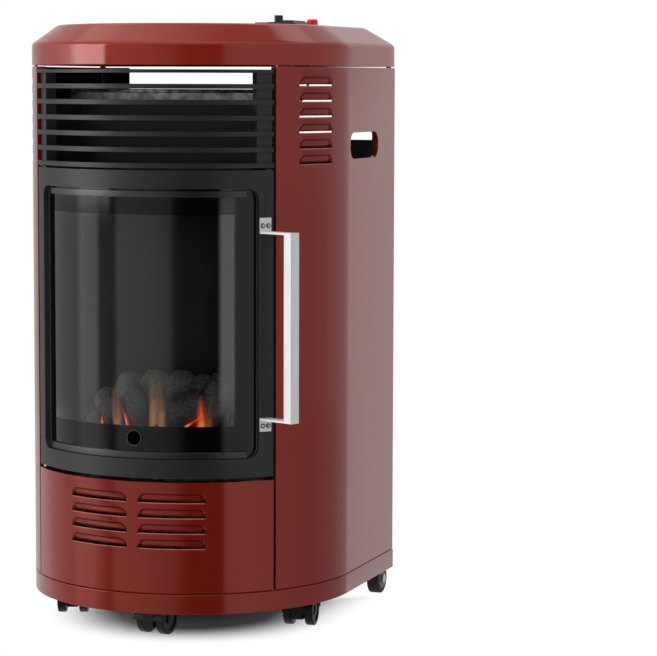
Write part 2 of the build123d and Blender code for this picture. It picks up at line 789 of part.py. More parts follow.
# ------------------------------------------------------------------------- hinge and catch on the cabinet
plate = 1.5
with BuildPart() as hinge_brackets:
    for z0 in (lower_panel_top, grille_bottom - plate):
        with BuildSketch(level(z0)):
            with Locations(Location((hinge_x, hinge_y), hinge_angle)):
                Rectangle(11.0, 9.0)
                Circle(hinge_pin_radius + running, mode=Mode.SUBTRACT)
        extrude(amount=plate)
hinge_brackets.part.label = "hinge_brackets"
export_step(hinge_brackets.part, "parts/hinge_brackets.step")

collar_z = lower_panel_top + plate
with BuildPart() as hinge_pins:
    with BuildSketch(level(lower_panel_top - sheet)):
        with Locations((hinge_x, hinge_y)):
            Circle(hinge_pin_radius)
    extrude(amount=sheet + door_bottom_gap + hinge_pin_reach)
    with BuildSketch(level(collar_z)):
        with Locations((hinge_x, hinge_y)):
            Circle(hinge_pin_radius + 2.0)
    extrude(amount=door_bottom - seat_gap - collar_z)
    with BuildSketch(level(door_top - hinge_pin_reach)):
        with Locations((hinge_x, hinge_y)):
            Circle(hinge_pin_radius)
    extrude(amount=hinge_pin_reach + door_top_gap + 15.0)
hinge_pins.part.label = "hinge_pins"
export_step(hinge_pins.part, "parts/hinge_pins.step")

magnet_outer = strike_outer - sheet - 0.5
with BuildPart() as door_catch_magnet:
    add(ring_block(magnet_outer - 11, magnet_outer, catch_middle - 13, catch_middle + 13,
                   seam - 3.5, seam - 1.0))
    add(ring_block(magnet_outer - sheet, magnet_outer, catch_middle - 10, catch_middle + 10,
                   seam - 1.5, side_seam + 2.0))
    add(ring_block(magnet_outer - sheet, inner - touch, catch_middle - 10, catch_middle + 10,
                   side_seam + 1.6, side_seam + 2.0))
door_catch_magnet.part.label = "door_catch_magnet"
export_step(door_catch_magnet.part, "parts/door_catch_magnet.step")

# ------------------------------------------------------------------------- shield and firebox
shield_reach = math.sqrt((inner - touch) ** 2 - (arc_y - shield_y) ** 2) - touch
shield_tab_low = shelf_height + 60.0
lowest_side_louvre = side_top - side_louvre_drop - louvre_height - (side_louvre_rows - 1) * side_louvre_pitch
shield_tab_high = lowest_side_louvre - shield_tab_height
with BuildPart() as heat_shield:
    with BuildSketch(back_plane(shield_y)):
        with Locations((0, tray_top)):
            Rectangle(shield_width, shield_top - tray_top, align=(Align.CENTER, Align.MIN))
        for height in (shield_tab_low, (shield_tab_low + shield_tab_high) / 2, shield_tab_high):
            with Locations((0, height)):
                Rectangle(2 * shield_reach, shield_tab_height)
    extrude(amount=shield_sheet)
    with BuildSketch(level(tray_top)):
        with Locations((0, shield_y + shield_sheet)):
            Rectangle(shield_width, shield_foot, align=(Align.CENTER, Align.MIN))
    extrude(amount=shield_sheet)
heat_shield.part.label = "heat_shield"
export_step(heat_shield.part, "parts/heat_shield.step")

firebox_front = post_inner - seat_gap
firebox_back_y = shield_y - firebox_gap
shelf_front = firebox_front - 0.2
tray_back_y = firebox_back_y - 3.0
tray_front_y = tray_back_y - tray_depth
pilot_x = tray_width / 2 + 12.6
pilot_y = tray_back_y - 24.0
pilot_spread = 8.0
outlet_x = 0.0
outlet_y = (tray_front_y + tray_back_y) / 2
with BuildPart() as firebox_floor:
    with BuildSketch(level(shelf_height)):
        with Locations((0, arc_y)):
            Circle(inner - touch)
        add(wedge(-side_seam - 1.4, side_seam + 1.4, cabinet_width), mode=Mode.SUBTRACT)
        with Locations((0, arc_y)):
            Circle(shelf_front)
        with Locations((0, shield_y - touch)):
            Rectangle(cabinet_width * 2, side_depth * 2, align=(Align.CENTER, Align.MIN), mode=Mode.SUBTRACT)
        with Locations((outlet_x, outlet_y)):
            Circle(tube_radius + seat_gap, mode=Mode.SUBTRACT)
        with Locations((pilot_x, pilot_y)):
            Circle(pilot_pipe_radius + seat_gap, mode=Mode.SUBTRACT)
        with Locations((pilot_x + pilot_spread, pilot_y), (pilot_x - pilot_spread, pilot_y)):
            Circle(lead_radius + seat_gap, mode=Mode.SUBTRACT)
    extrude(amount=sheet)
firebox_floor.part.label = "firebox_floor"
export_step(firebox_floor.part, "parts/firebox_floor.step")

mouth = at(firebox_mouth_angle, firebox_front)
half_back = firebox_back_width / 2
with BuildPart() as firebox_liner:
    with BuildSketch(level(shelf_top)):
        with BuildLine():
            Polyline((-mouth[0], mouth[1]), (-half_back, firebox_back_y), (half_back, firebox_back_y),
                     (mouth[0], mouth[1]), close=True)
        make_face()
        with BuildLine():
            Polyline((-mouth[0] + sheet * 1.1, mouth[1] - sheet), (-half_back + sheet, firebox_back_y - sheet),
                     (half_back - sheet, firebox_back_y - sheet), (mouth[0] - sheet * 1.1, mouth[1] - sheet),
                     close=True)
        make_face(mode=Mode.SUBTRACT)
    extrude(amount=firebox_height)
firebox_liner.part.label = "firebox_liner"
export_step(firebox_liner.part, "parts/firebox_liner.step")

bed_angle = math.degrees(math.atan2(tray_rise, tray_depth))
tray_profile = [(tray_front_y, shelf_top), (tray_front_y, shelf_top + tray_front_height),
                (tray_back_y, shelf_top + tray_front_height + tray_rise), (tray_back_y, shelf_top)]
with BuildPart() as burner_tray:
    with BuildSketch(side_plane(-tray_width / 2)):
        with BuildLine():
            Polyline(*tray_profile, close=True)
        make_face()
    extrude(amount=tray_width)
    offset(amount=-sheet, openings=burner_tray.faces().sort_by(Axis.Z)[0])
burner_tray.part.label = "burner_tray"
export_step(burner_tray.part, "parts/burner_tray.step")

stone_pitch = stone_size + stone_gap
stone_columns = int(tray_width / stone_pitch)
stone_rows = int(math.hypot(tray_depth, tray_rise) / stone_pitch)
bed_plane = Plane(
    origin=(0, (tray_front_y + tray_back_y) / 2, shelf_top + tray_front_height + tray_rise / 2),
    x_dir=(1, 0, 0),
    z_dir=(0, -math.sin(math.radians(bed_angle)), math.cos(math.radians(bed_angle))),
)
with BuildPart(bed_plane.offset(touch)) as ceramic_stones:
    with GridLocations(stone_pitch, stone_pitch, stone_columns, stone_rows):
        Box(stone_size, stone_size, stone_thickness, align=(Align.CENTER, Align.CENTER, Align.MIN))
    chamfer(ceramic_stones.edges(), length=3.0)
ceramic_stones.part.label = "ceramic_stones"
export_step(ceramic_stones.part, "parts/ceramic_stones.step")

tube_z = shelf_height - tube_drop
tube_mouth_x = 58.0
with BuildPart() as burner_mixing_tube:
    with BuildLine() as tube_path:
        FilletPolyline((tube_mouth_x, outlet_y, tube_z), (outlet_x, outlet_y, tube_z),
                       (outlet_x, outlet_y, shelf_top + 3.0), radius=10.0)
    with BuildSketch(Plane(origin=tube_path.line @ 0, z_dir=tube_path.line % 0)):
        Circle(tube_radius)
        Circle(tube_radius - tube_wall, mode=Mode.SUBTRACT)
    sweep()
    with BuildSketch(level(shelf_height - touch)):
        with Locations((outlet_x, outlet_y)):
            Circle(tube_radius + 5.0)
            Circle(tube_radius - tube_wall, mode=Mode.SUBTRACT)
    extrude(amount=-1.5)
burner_mixing_tube.part.label = "burner_mixing_tube"
export_step(burner_mixing_tube.part, "parts/burner_mixing_tube.step")

injector_x = tube_mouth_x + 14.0
with BuildPart() as injector_holder:
    with Locations((injector_x, outlet_y, shelf_height)):
        Box(10.0, 18.0, 24.0, align=(Align.CENTER, Align.CENTER, Align.MAX))
    with BuildSketch(side_plane(injector_x - 5.0)):
        with Locations((outlet_y, tube_z)):
            Circle(4.0)
    extrude(amount=-10.0, taper=12)
    with BuildSketch(level(shelf_height)):
        with Locations((injector_x - 15.0, outlet_y)):
            Rectangle(40.0, 18.0)
    extrude(amount=-1.5)
injector_holder.part.label = "injector_holder"
export_step(injector_holder.part, "parts/injector_holder.step")

# ------------------------------------------------------------------------- controls
bezel_x0 = valve_x - 24.5
bezel_x1 = bezel_x0 + bezel_width
block_x0 = bezel_x0 + 33.0
with BuildPart() as control_bezel:
    with BuildSketch(back_plane(valve_place[1] + bezel_depth / 2)):
        with BuildLine():
            Polyline((-bezel_x0, lid_top), (-bezel_x0, lid_top + bezel_height),
                     (-block_x0, lid_top + bezel_height), (-block_x0 - 1.0, lid_top + block_height),
                     (-bezel_x1 + 7.0, lid_top + block_height), (-bezel_x1, lid_top + 1.5),
                     (-bezel_x1, lid_top), close=True)
        make_face()
    extrude(amount=-bezel_depth)
    upright = control_bezel.edges().filter_by(Axis.Z)
    fillet(upright.sort_by(Axis.X)[:2], radius=6.0)
    with BuildSketch(level(lid_top + bezel_height - knob_travel - 1.0)):
        with Locations(valve_place):
            Circle(knob_radius + 0.8)
    extrude(amount=block_height, mode=Mode.SUBTRACT)
    with BuildSketch(level(lid_top)):
        with Locations(valve_place):
            Circle(stem_radius + 1.0)
    extrude(amount=bezel_height, mode=Mode.SUBTRACT)
control_bezel.part.label = "control_bezel"
export_step(control_bezel.part, "parts/control_bezel.step")

knob_bottom = lid_top + bezel_height - 0.8
knob_top = lid_top + knob_height
stem_end = knob_bottom + 2.0
with BuildPart() as control_knob:
    with BuildSketch(level(knob_bottom)):
        with Locations(valve_place):
            Circle(knob_radius)
    extrude(amount=1.6, taper=10)
    with BuildSketch(level(knob_bottom)):
        with Locations(Location(valve_place, 19.0)):
            RectangleRounded(knob_grip_width, knob_radius * 1.85, 3.0)
    extrude(amount=knob_top - knob_bottom)
    fillet(control_knob.faces().sort_by(Axis.Z)[-1].edges(), radius=1.0)
    with BuildSketch(level(knob_bottom)):
        with Locations(valve_place):
            Circle(stem_radius + running)
    extrude(amount=stem_end - knob_bottom + knob_travel + 0.5, mode=Mode.SUBTRACT)
control_knob.part.label = "control_knob"
export_step(control_knob.part, "parts/control_knob.step")

valve_top = lid_underside - valve_drop
valve_bottom = valve_top - valve_height
stem_bottom = valve_top - 10.0
with BuildPart() as valve_stem:
    with BuildSketch(level(stem_bottom)):
        with Locations(valve_place):
            Circle(stem_radius)
    extrude(amount=stem_end - stem_bottom)
valve_stem.part.label = "valve_stem"
export_step(valve_stem.part, "parts/valve_stem.step")

valve_middle_z = (valve_top + valve_bottom) / 2
with BuildPart() as gas_valve:
    with Locations((valve_place[0], valve_place[1], valve_bottom)):
        Box(valve_size, valve_size, valve_height, align=(Align.CENTER, Align.CENTER, Align.MIN))
    chamfer(gas_valve.edges().filter_by(Axis.Z), length=3.0)
    with BuildSketch(level(stem_bottom)):
        with Locations(valve_place):
            Circle(stem_radius + running)
    extrude(amount=valve_height, mode=Mode.SUBTRACT)
gas_valve.part.label = "gas_valve"
export_step(gas_valve.part, "parts/gas_valve.step")

with BuildPart() as valve_bracket:
    with BuildSketch(level(valve_top)):
        with Locations(valve_place):
            Rectangle(valve_size + 2 * plate, valve_size)
            Circle(stem_radius + 2.0, mode=Mode.SUBTRACT)
    extrude(amount=plate)
    for side in (-1, 1):
        with BuildSketch(level(valve_top)):
            with Locations((valve_x + side * (valve_size / 2 + plate / 2), valve_place[1])):
                Rectangle(plate, valve_size)
        extrude(amount=valve_drop)
        with BuildSketch(level(lid_underside - plate)):
            with Locations((valve_x + side * (valve_size / 2 + 4.0), valve_place[1])):
                Rectangle(8.0, valve_size)
        extrude(amount=plate)
valve_bracket.part.label = "valve_bracket"
export_step(valve_bracket.part, "parts/valve_bracket.step")

inlet_z = valve_middle_z - inlet_drop
collar_y = valve_place[1] + valve_size / 2
collar_length = 9.0
collar_middle = Location((-valve_x, inlet_z))
with BuildPart() as gas_inlet:
    with BuildLine() as elbow:
        FilletPolyline((valve_x, valve_place[1], valve_bottom), (valve_x, valve_place[1], inlet_z),
                       (valve_x, collar_y, inlet_z), radius=inlet_bend)
    with BuildSketch(Plane(origin=elbow.line @ 0, z_dir=elbow.line % 0)):
        Circle(inlet_pipe_radius)
    sweep()
    with BuildSketch(back_plane(collar_y)):
        with Locations(collar_middle):
            RegularPolygon(inlet_radius + 4.0, 6)
    extrude(amount=collar_length)
    with BuildSketch(back_plane(collar_y + collar_length)):
        with Locations(collar_middle):
            Circle(inlet_radius)
    extrude(amount=inlet_length)
    with BuildSketch(back_plane(collar_y)):
        with Locations(collar_middle):
            Circle(inlet_radius - 4.0)
    extrude(amount=collar_length + inlet_length, mode=Mode.SUBTRACT)
gas_inlet.part.label = "gas_inlet"
export_step(gas_inlet.part, "parts/gas_inlet.step")

button_bottom = lid_top - 10.0
button_top = lid_top + button_height
with BuildPart() as igniter_button:
    with BuildSketch(level(button_bottom)):
        with Locations(igniter_place):
            Circle(button_radius)
    extrude(amount=button_top - button_bottom)
    fillet(igniter_button.faces().sort_by(Axis.Z)[-1].edges(), radius=2.4)
igniter_button.part.label = "igniter_button"
export_step(igniter_button.part, "parts/igniter_button.step")

igniter_bottom = lid_underside - 42.0
with BuildPart() as igniter_body:
    with BuildSketch(level(igniter_bottom)):
        with Locations(igniter_place):
            Circle(button_radius + 3.0)
    extrude(amount=lid_underside - touch - igniter_bottom)
    with BuildSketch(level(button_bottom - button_travel - 0.5)):
        with Locations(igniter_place):
            Circle(button_radius + running)
    extrude(amount=60.0, mode=Mode.SUBTRACT)
    with BuildSketch(level(lid_underside - touch - 3.0)):
        with Locations(igniter_place):
            RegularPolygon(button_radius + 6.0, 6)
            Circle(button_radius + running, mode=Mode.SUBTRACT)
    extrude(amount=3.0)
igniter_body.part.label = "igniter_body"
export_step(igniter_body.part, "parts/igniter_body.step")

# ------------------------------------------------------------------------- gas pipes and leads
riser_y = shield_y + 14.0
past_shield_y = shield_y - 4.0
valve_front_y = valve_place[1] - valve_size / 2
pipe_x = shield_width / 2 + 10.0
pipe_z = shelf_height - 12.0
pilot_riser_x = pipe_x + 9.0
thermo_riser_x = pilot_riser_x + 7.0
lead_riser_x = thermo_riser_x + 6.0
thermo_z = pipe_z - 8.0
pilot_z = thermo_z - 7.0
lead_z = pilot_z - 6.0
injector_back_y = outlet_y + 9.0
bend_y = riser_y + 70.0
with BuildPart() as gas_pipe:
    add(pipe_run([
        (valve_x, valve_front_y, valve_middle_z), (valve_x, bend_y, valve_middle_z),
        (pipe_x, riser_y, valve_middle_z), (pipe_x, riser_y, pipe_z),
        (pipe_x, past_shield_y - 8.0, pipe_z), (injector_x, past_shield_y - 8.0, pipe_z),
        (injector_x, injector_back_y, pipe_z)], [20.0, 20.0, 14.0, 10.0, 9.0], gas_pipe_radius))
gas_pipe.part.label = "gas_pipe"
export_step(gas_pipe.part, "parts/gas_pipe.step")

with BuildPart() as pilot_burner:
    with BuildSketch(level(shelf_top)):
        with Locations((pilot_x, pilot_y)):
            Rectangle(22.0, 12.0)
            Circle(pilot_pipe_radius + seat_gap, mode=Mode.SUBTRACT)
        with Locations((pilot_x + pilot_spread, pilot_y), (pilot_x - pilot_spread, pilot_y)):
            Circle(lead_radius + seat_gap, mode=Mode.SUBTRACT)
    extrude(amount=plate)
    with BuildSketch(level(shelf_top)):
        with Locations((pilot_x, pilot_y + 6.0 - plate / 2)):
            Rectangle(22.0, plate)
    extrude(amount=26.0)
    with BuildSketch(level(shelf_top + 14.0)):
        with Locations((pilot_x, pilot_y)):
            Rectangle(8.0, 9.0)
            Circle(pilot_pipe_radius + running, mode=Mode.SUBTRACT)
    extrude(amount=8.0)
    with BuildSketch(level(shelf_top + 22.0)):
        with Locations((pilot_x, pilot_y)):
            Circle(5.0)
    extrude(amount=12.0)
pilot_burner.part.label = "pilot_burner"
export_step(pilot_burner.part, "parts/pilot_burner.step")

with BuildPart() as pilot_pipe:
    add(pipe_run([
        (valve_x + 10.0, valve_front_y, valve_middle_z + 8.0), (valve_x + 10.0, bend_y, valve_middle_z + 8.0),
        (pilot_riser_x, riser_y, valve_middle_z + 8.0), (pilot_riser_x, riser_y, pilot_z),
        (pilot_riser_x, past_shield_y, pilot_z), (pilot_x, pilot_y, pilot_z),
        (pilot_x, pilot_y, shelf_top + 22.0)], [16.0, 16.0, 8.0, 8.0, 8.0], pilot_pipe_radius))
pilot_pipe.part.label = "pilot_pipe"
export_step(pilot_pipe.part, "parts/pilot_pipe.step")

with BuildPart() as thermocouple:
    add(pipe_run([
        (valve_x - 10.0, valve_front_y, valve_middle_z - 8.0), (valve_x - 10.0, bend_y, valve_middle_z - 8.0),
        (thermo_riser_x, riser_y, valve_middle_z - 8.0), (thermo_riser_x, riser_y, thermo_z),
        (thermo_riser_x, past_shield_y, thermo_z), (pilot_x + pilot_spread, pilot_y, thermo_z),
        (pilot_x + pilot_spread, pilot_y, shelf_top + 36.0)], [14.0, 12.0, 7.0, 7.0, 7.0], lead_radius))
thermocouple.part.label = "thermocouple"
export_step(thermocouple.part, "parts/thermocouple.step")

with BuildPart() as spark_electrode:
    with BuildSketch(level(shelf_height - 6.0)):
        with Locations((pilot_x - pilot_spread, pilot_y)):
            Circle(lead_radius)
    extrude(amount=48.0)
spark_electrode.part.label = "spark_electrode"
export_step(spark_electrode.part, "parts/spark_electrode.step")

with BuildPart() as igniter_lead:
    add(pipe_run([
        (igniter_x, igniter_place[1], igniter_bottom), (igniter_x, igniter_place[1], igniter_bottom - 16.0),
        (lead_riser_x, riser_y, igniter_bottom - 60.0), (lead_riser_x, riser_y, lead_z),
        (lead_riser_x, past_shield_y, lead_z), (pilot_x - pilot_spread, pilot_y, lead_z),
        (pilot_x - pilot_spread, pilot_y, shelf_height - 6.0)], [12.0, 30.0, 7.0, 7.0, 7.0], lead_radius))
igniter_lead.part.label = "igniter_lead"
export_step(igniter_lead.part, "parts/igniter_lead.step")


# ------------------------------------------------------------------------- castors and rear wheels
def castor_side_plane(x, y, heading):
    """Upright plane through a castor's swivel axis along its trail, facing along the axle."""
    angle = math.radians(heading)
    return Plane(origin=(x, y, 0), x_dir=(math.cos(angle), math.sin(angle), 0),
                 z_dir=(math.sin(angle), -math.cos(angle), 0))


def castor_wheel(plane, offset_along):
    """Solid wheel with rounded edges and a shallow dish, bored for the axle."""
    start = offset_along - castor_wheel_width / 2
    with BuildPart() as wheel:
        with BuildSketch(plane.offset(start)):
            with Locations((castor_trail, wheel_radius)):
                Circle(wheel_radius)
                Circle(castor_axle_radius + running, mode=Mode.SUBTRACT)
        extrude(amount=castor_wheel_width)
        fillet(wheel.edges().filter_by(GeomType.CIRCLE).group_by(SortBy.RADIUS)[-1], radius=2.0)
        outer_face = start if offset_along < 0 else start + castor_wheel_width - 1.5
        with BuildSketch(plane.offset(outer_face)):
            with Locations((castor_trail, wheel_radius)):
                Circle(wheel_radius - 5.0)
                Circle(castor_axle_radius + 3.0, mode=Mode.SUBTRACT)
        extrude(amount=1.5, mode=Mode.SUBTRACT)
    return wheel.part


hood_inner = wheel_radius + hood_gap
hood_outer = hood_inner + hood_sheet
web_half = castor_wheel_spacing / 2 - castor_wheel_width / 2 - 1.0
hood_half = castor_wheel_spacing / 2 + castor_wheel_width / 2 + 0.5
neck_top = wheel_radius * 2 - 1.0
for name, (castor_x, castor_back, heading) in castor_places.items():
    plane = castor_side_plane(castor_x, front_y + castor_back, heading)
    with BuildPart() as castor_housing:
        with BuildSketch(plane.offset(-web_half)):
            with Locations((castor_trail, wheel_radius)):
                Circle(hood_outer)
            with Locations((castor_trail, wheel_radius - 9.0)):
                Rectangle(80.0, 40.0, align=(Align.CENTER, Align.MAX), mode=Mode.SUBTRACT)
            with Locations((castor_trail / 2, neck_top)):
                Rectangle(castor_trail + 16.0, 16.0, align=(Align.CENTER, Align.MAX))
        extrude(amount=2 * web_half)
        with BuildSketch(plane.offset(-hood_half)):
            with Locations((castor_trail, wheel_radius)):
                Circle(hood_outer)
                Circle(hood_inner, mode=Mode.SUBTRACT)
                Rectangle(80.0, 40.0, align=(Align.CENTER, Align.MAX), mode=Mode.SUBTRACT)
        extrude(amount=2 * hood_half)
        with BuildSketch(plane.offset(-hood_half)):
            with Locations((castor_trail, wheel_radius)):
                Circle(castor_axle_radius)
        extrude(amount=2 * hood_half)
        with BuildSketch(level(neck_top - 2.0)):
            with Locations((castor_x, front_y + castor_back)):
                Circle(castor_stem_radius)
        extrude(amount=stem_top - neck_top + 2.0)
    castor_housing.part.label = f"castor_{name}_housing"
    export_step(castor_housing.part, f"parts/castor_{name}_housing.step")
    for side, offset_along in (("a", -castor_wheel_spacing / 2), ("b", castor_wheel_spacing / 2)):
        wheel_part = castor_wheel(plane, offset_along)
        wheel_part.label = f"castor_{name}_wheel_{side}"
        export_step(wheel_part, f"parts/castor_{name}_wheel_{side}.step")

rear_x = radius - rear_wheel_inset
rear_place = (side_end_y + rear_wheel_back, wheel_radius)
bracket_x = rear_x - rear_wheel_width / 2 - 1.0
with BuildPart() as rear_wheel_brackets:
    with BuildSketch(side_plane(bracket_x - 2.0)):
        with Locations(rear_place):
            Circle(9.0)
        with Locations((rear_place[0], tray_underside)):
            Rectangle(bracket_width, tray_underside - wheel_radius, align=(Align.CENTER, Align.MAX))
        make_hull()
        with Locations(rear_place):
            Circle(rear_axle_radius, mode=Mode.SUBTRACT)
    extrude(amount=2.0)
    with BuildSketch(level(tray_underside - 2.0)):
        with Locations((bracket_x, rear_place[0])):
            Rectangle(bracket_flange, bracket_width, align=(Align.MAX, Align.CENTER))
    extrude(amount=2.0)
    mirror(about=Plane.YZ)
rear_wheel_brackets.part.label = "rear_wheel_brackets"
export_step(rear_wheel_brackets.part, "parts/rear_wheel_brackets.step")

axle_end_x = rear_x + rear_wheel_width / 2
with BuildPart() as rear_axles:
    with BuildSketch(side_plane(bracket_x - 6.0)):
        with Locations(rear_place):
            Circle(rear_axle_radius - touch / 2)
    extrude(amount=axle_end_x + 1.0 - bracket_x + 6.0)
    with BuildSketch(side_plane(axle_end_x + 0.4)):
        with Locations(rear_place):
            Circle(rear_axle_radius + 2.0)
    extrude(amount=2.0)
    mirror(about=Plane.YZ)
rear_axles.part.label = "rear_axles"
export_step(rear_axles.part, "parts/rear_axles.step")

for side, sign in (("right", 1), ("left", -1)):
    wheel_plane = side_plane(sign * rear_x)
    with BuildPart() as rear_tyre:
        with BuildSketch(wheel_plane):
            with Locations(rear_place):
                Circle(wheel_radius)
                Circle(rear_hub_radius, mode=Mode.SUBTRACT)
        extrude(amount=rear_wheel_width / 2, both=True)
        fillet(rear_tyre.edges().filter_by(GeomType.CIRCLE).group_by(SortBy.RADIUS)[-1], radius=2.5)
    rear_tyre.part.label = f"rear_tyre_{side}"
    export_step(rear_tyre.part, f"parts/rear_tyre_{side}.step")
    with BuildPart() as rear_hub:
        with BuildSketch(wheel_plane):
            with Locations(rear_place):
                Circle(rear_hub_radius - touch / 2)
                Circle(rear_axle_radius + running, mode=Mode.SUBTRACT)
        extrude(amount=rear_wheel_width / 2, both=True)
    rear_hub.part.label = f"rear_hub_{side}"
    export_step(rear_hub.part, f"parts/rear_hub_{side}.step")
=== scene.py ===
# %% [markdown]
# # A cabinet gas heater
# The heater is a steel cabinet with a half-round front: a glazed door over a flame-effect burner, an outlet
# grille above the door, a folded lid with the controls, and wheels below. The solids come from the CAD model.
# This script gives them their finishes, and adds the pieces whose shape is easier to compute as a surface: a
# lid with rolled edges, the hem of the heat shield, screw heads with their recesses, rough ceramic coals and
# flames.

# %% Load the frame
import math

import bmesh
import bpy
import numpy as np
from mathutils import Matrix, Vector


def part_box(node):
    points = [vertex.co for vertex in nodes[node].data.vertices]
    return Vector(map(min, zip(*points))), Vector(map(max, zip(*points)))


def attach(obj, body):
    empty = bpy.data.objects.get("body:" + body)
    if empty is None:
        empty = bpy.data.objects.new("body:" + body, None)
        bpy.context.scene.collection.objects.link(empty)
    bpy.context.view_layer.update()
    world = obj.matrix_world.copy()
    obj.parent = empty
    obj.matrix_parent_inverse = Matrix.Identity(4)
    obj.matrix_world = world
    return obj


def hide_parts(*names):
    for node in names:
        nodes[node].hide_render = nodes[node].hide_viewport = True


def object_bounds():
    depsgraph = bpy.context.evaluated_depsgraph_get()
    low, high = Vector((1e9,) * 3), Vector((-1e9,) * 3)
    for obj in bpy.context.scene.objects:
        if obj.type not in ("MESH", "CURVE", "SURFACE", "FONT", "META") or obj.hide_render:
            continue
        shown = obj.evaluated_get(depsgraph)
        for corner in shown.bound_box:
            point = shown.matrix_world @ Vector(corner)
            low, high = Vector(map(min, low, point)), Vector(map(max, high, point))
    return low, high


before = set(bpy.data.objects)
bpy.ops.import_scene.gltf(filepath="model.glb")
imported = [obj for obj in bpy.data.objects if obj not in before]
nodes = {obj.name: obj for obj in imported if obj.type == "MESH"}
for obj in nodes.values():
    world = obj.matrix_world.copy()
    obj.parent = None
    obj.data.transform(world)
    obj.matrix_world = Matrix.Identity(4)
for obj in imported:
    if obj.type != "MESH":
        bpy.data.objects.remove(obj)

cad_low, cad_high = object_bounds()

# %% [markdown]
# ## Sizes taken from the frame
# Every piece is placed from the boxes of the solids, so that it still fits when the model is packed again.
# The curved front is an arc about an upright axis. Its radius is half the cabinet's width, and the axis
# stands that far behind the front of the plinth.

# %% Sizes of the cabinet
MM = 0.001
plinth_low, plinth_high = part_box("base_plinth")
lid_low, lid_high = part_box("top_cover")
door_low, door_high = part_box("door_frame")
cabinet_radius = plinth_high.x
axis_y = plinth_low.y + cabinet_radius
side_end_y = plinth_high.y
print("radius", round(cabinet_radius, 4), "axis at y", round(axis_y, 4))

# %% [markdown]
# ## Camera
# The camera stands a little above the middle of the door, to the right of the heater, with a long lens that
# keeps the uprights nearly parallel. Its axes are built from a yaw, a pitch and a small roll.

# %% Camera
camera_place = Vector((1.2020, axis_y - 2.9336, 0.6642))
camera_yaw, camera_pitch, camera_roll = 0.3368, 0.0961, 0.0029
focal_pixels, image_pixels = 2556.3, 657

forward = Vector((-math.sin(camera_yaw) * math.cos(camera_pitch),
                  math.cos(camera_yaw) * math.cos(camera_pitch), -math.sin(camera_pitch)))
level_right = Vector((math.cos(camera_yaw), math.sin(camera_yaw), 0))
level_up = level_right.cross(forward)
right = math.cos(camera_roll) * level_right + math.sin(camera_roll) * level_up
up = -math.sin(camera_roll) * level_right + math.cos(camera_roll) * level_up

lens = bpy.data.cameras.new("camera")
lens.sensor_width = 36.0
lens.lens = focal_pixels / image_pixels * lens.sensor_width
lens.clip_end = 50
camera = bpy.data.objects.new("camera", lens)
bpy.context.scene.collection.objects.link(camera)
turn = Matrix((right, up, -forward)).transposed().to_4x4()
camera.matrix_world = Matrix.Translation(camera_place) @ turn
bpy.context.scene.camera = camera
bpy.context.scene.view_settings.view_transform = "Standard"
print("lens", round(lens.lens, 1), "mm")

# %% [markdown]
# ## Writing shader maths as Python
# A procedural finish is a small sum of noises, masks and colours. Written node by node it is long and hard
# to read, so `Wire` wraps one socket and overloads the operators: `1 - mask * 0.5` adds its Math nodes by
# itself.

# %% Wire


class Wire:
    """One output socket that can be used in a sum, a difference, a product or a quotient."""

    def __init__(self, finish, socket):
        self.finish, self.socket = finish, socket

    def maths(self, operation, *others):
        """Adds one Math node."""
        return self.finish.node("ShaderNodeMath", {"operation": operation}, self, *others)

    def __add__(self, other):
        return self.maths("ADD", other)

    def __mul__(self, other):
        return self.maths("MULTIPLY", other)

    def __sub__(self, other):
        return self.maths("SUBTRACT", other)

    def __rsub__(self, other):
        return self.finish.node("ShaderNodeMath", {"operation": "SUBTRACT"}, other, self)

    def __truediv__(self, other):
        return self.maths("DIVIDE", other)

    __radd__, __rmul__ = __add__, __mul__

    def ramp(self, low, high, to_low=0.0, to_high=1.0):
        """Smooth step from low to high, clamped at both ends."""
        return self.finish.node("ShaderNodeMapRange", {"interpolation_type": "SMOOTHSTEP"},
                                self, low, high, to_low, to_high)


print("a wire turns + - * / into Math nodes")

# %% [markdown]
# `Finish` holds one material, and one method for every other node: it takes the node's type, its options, and
# the values or links of its inputs. Colours never go through Math nodes, which would turn them grey; a Mix
# node blends them.

# %% Finish


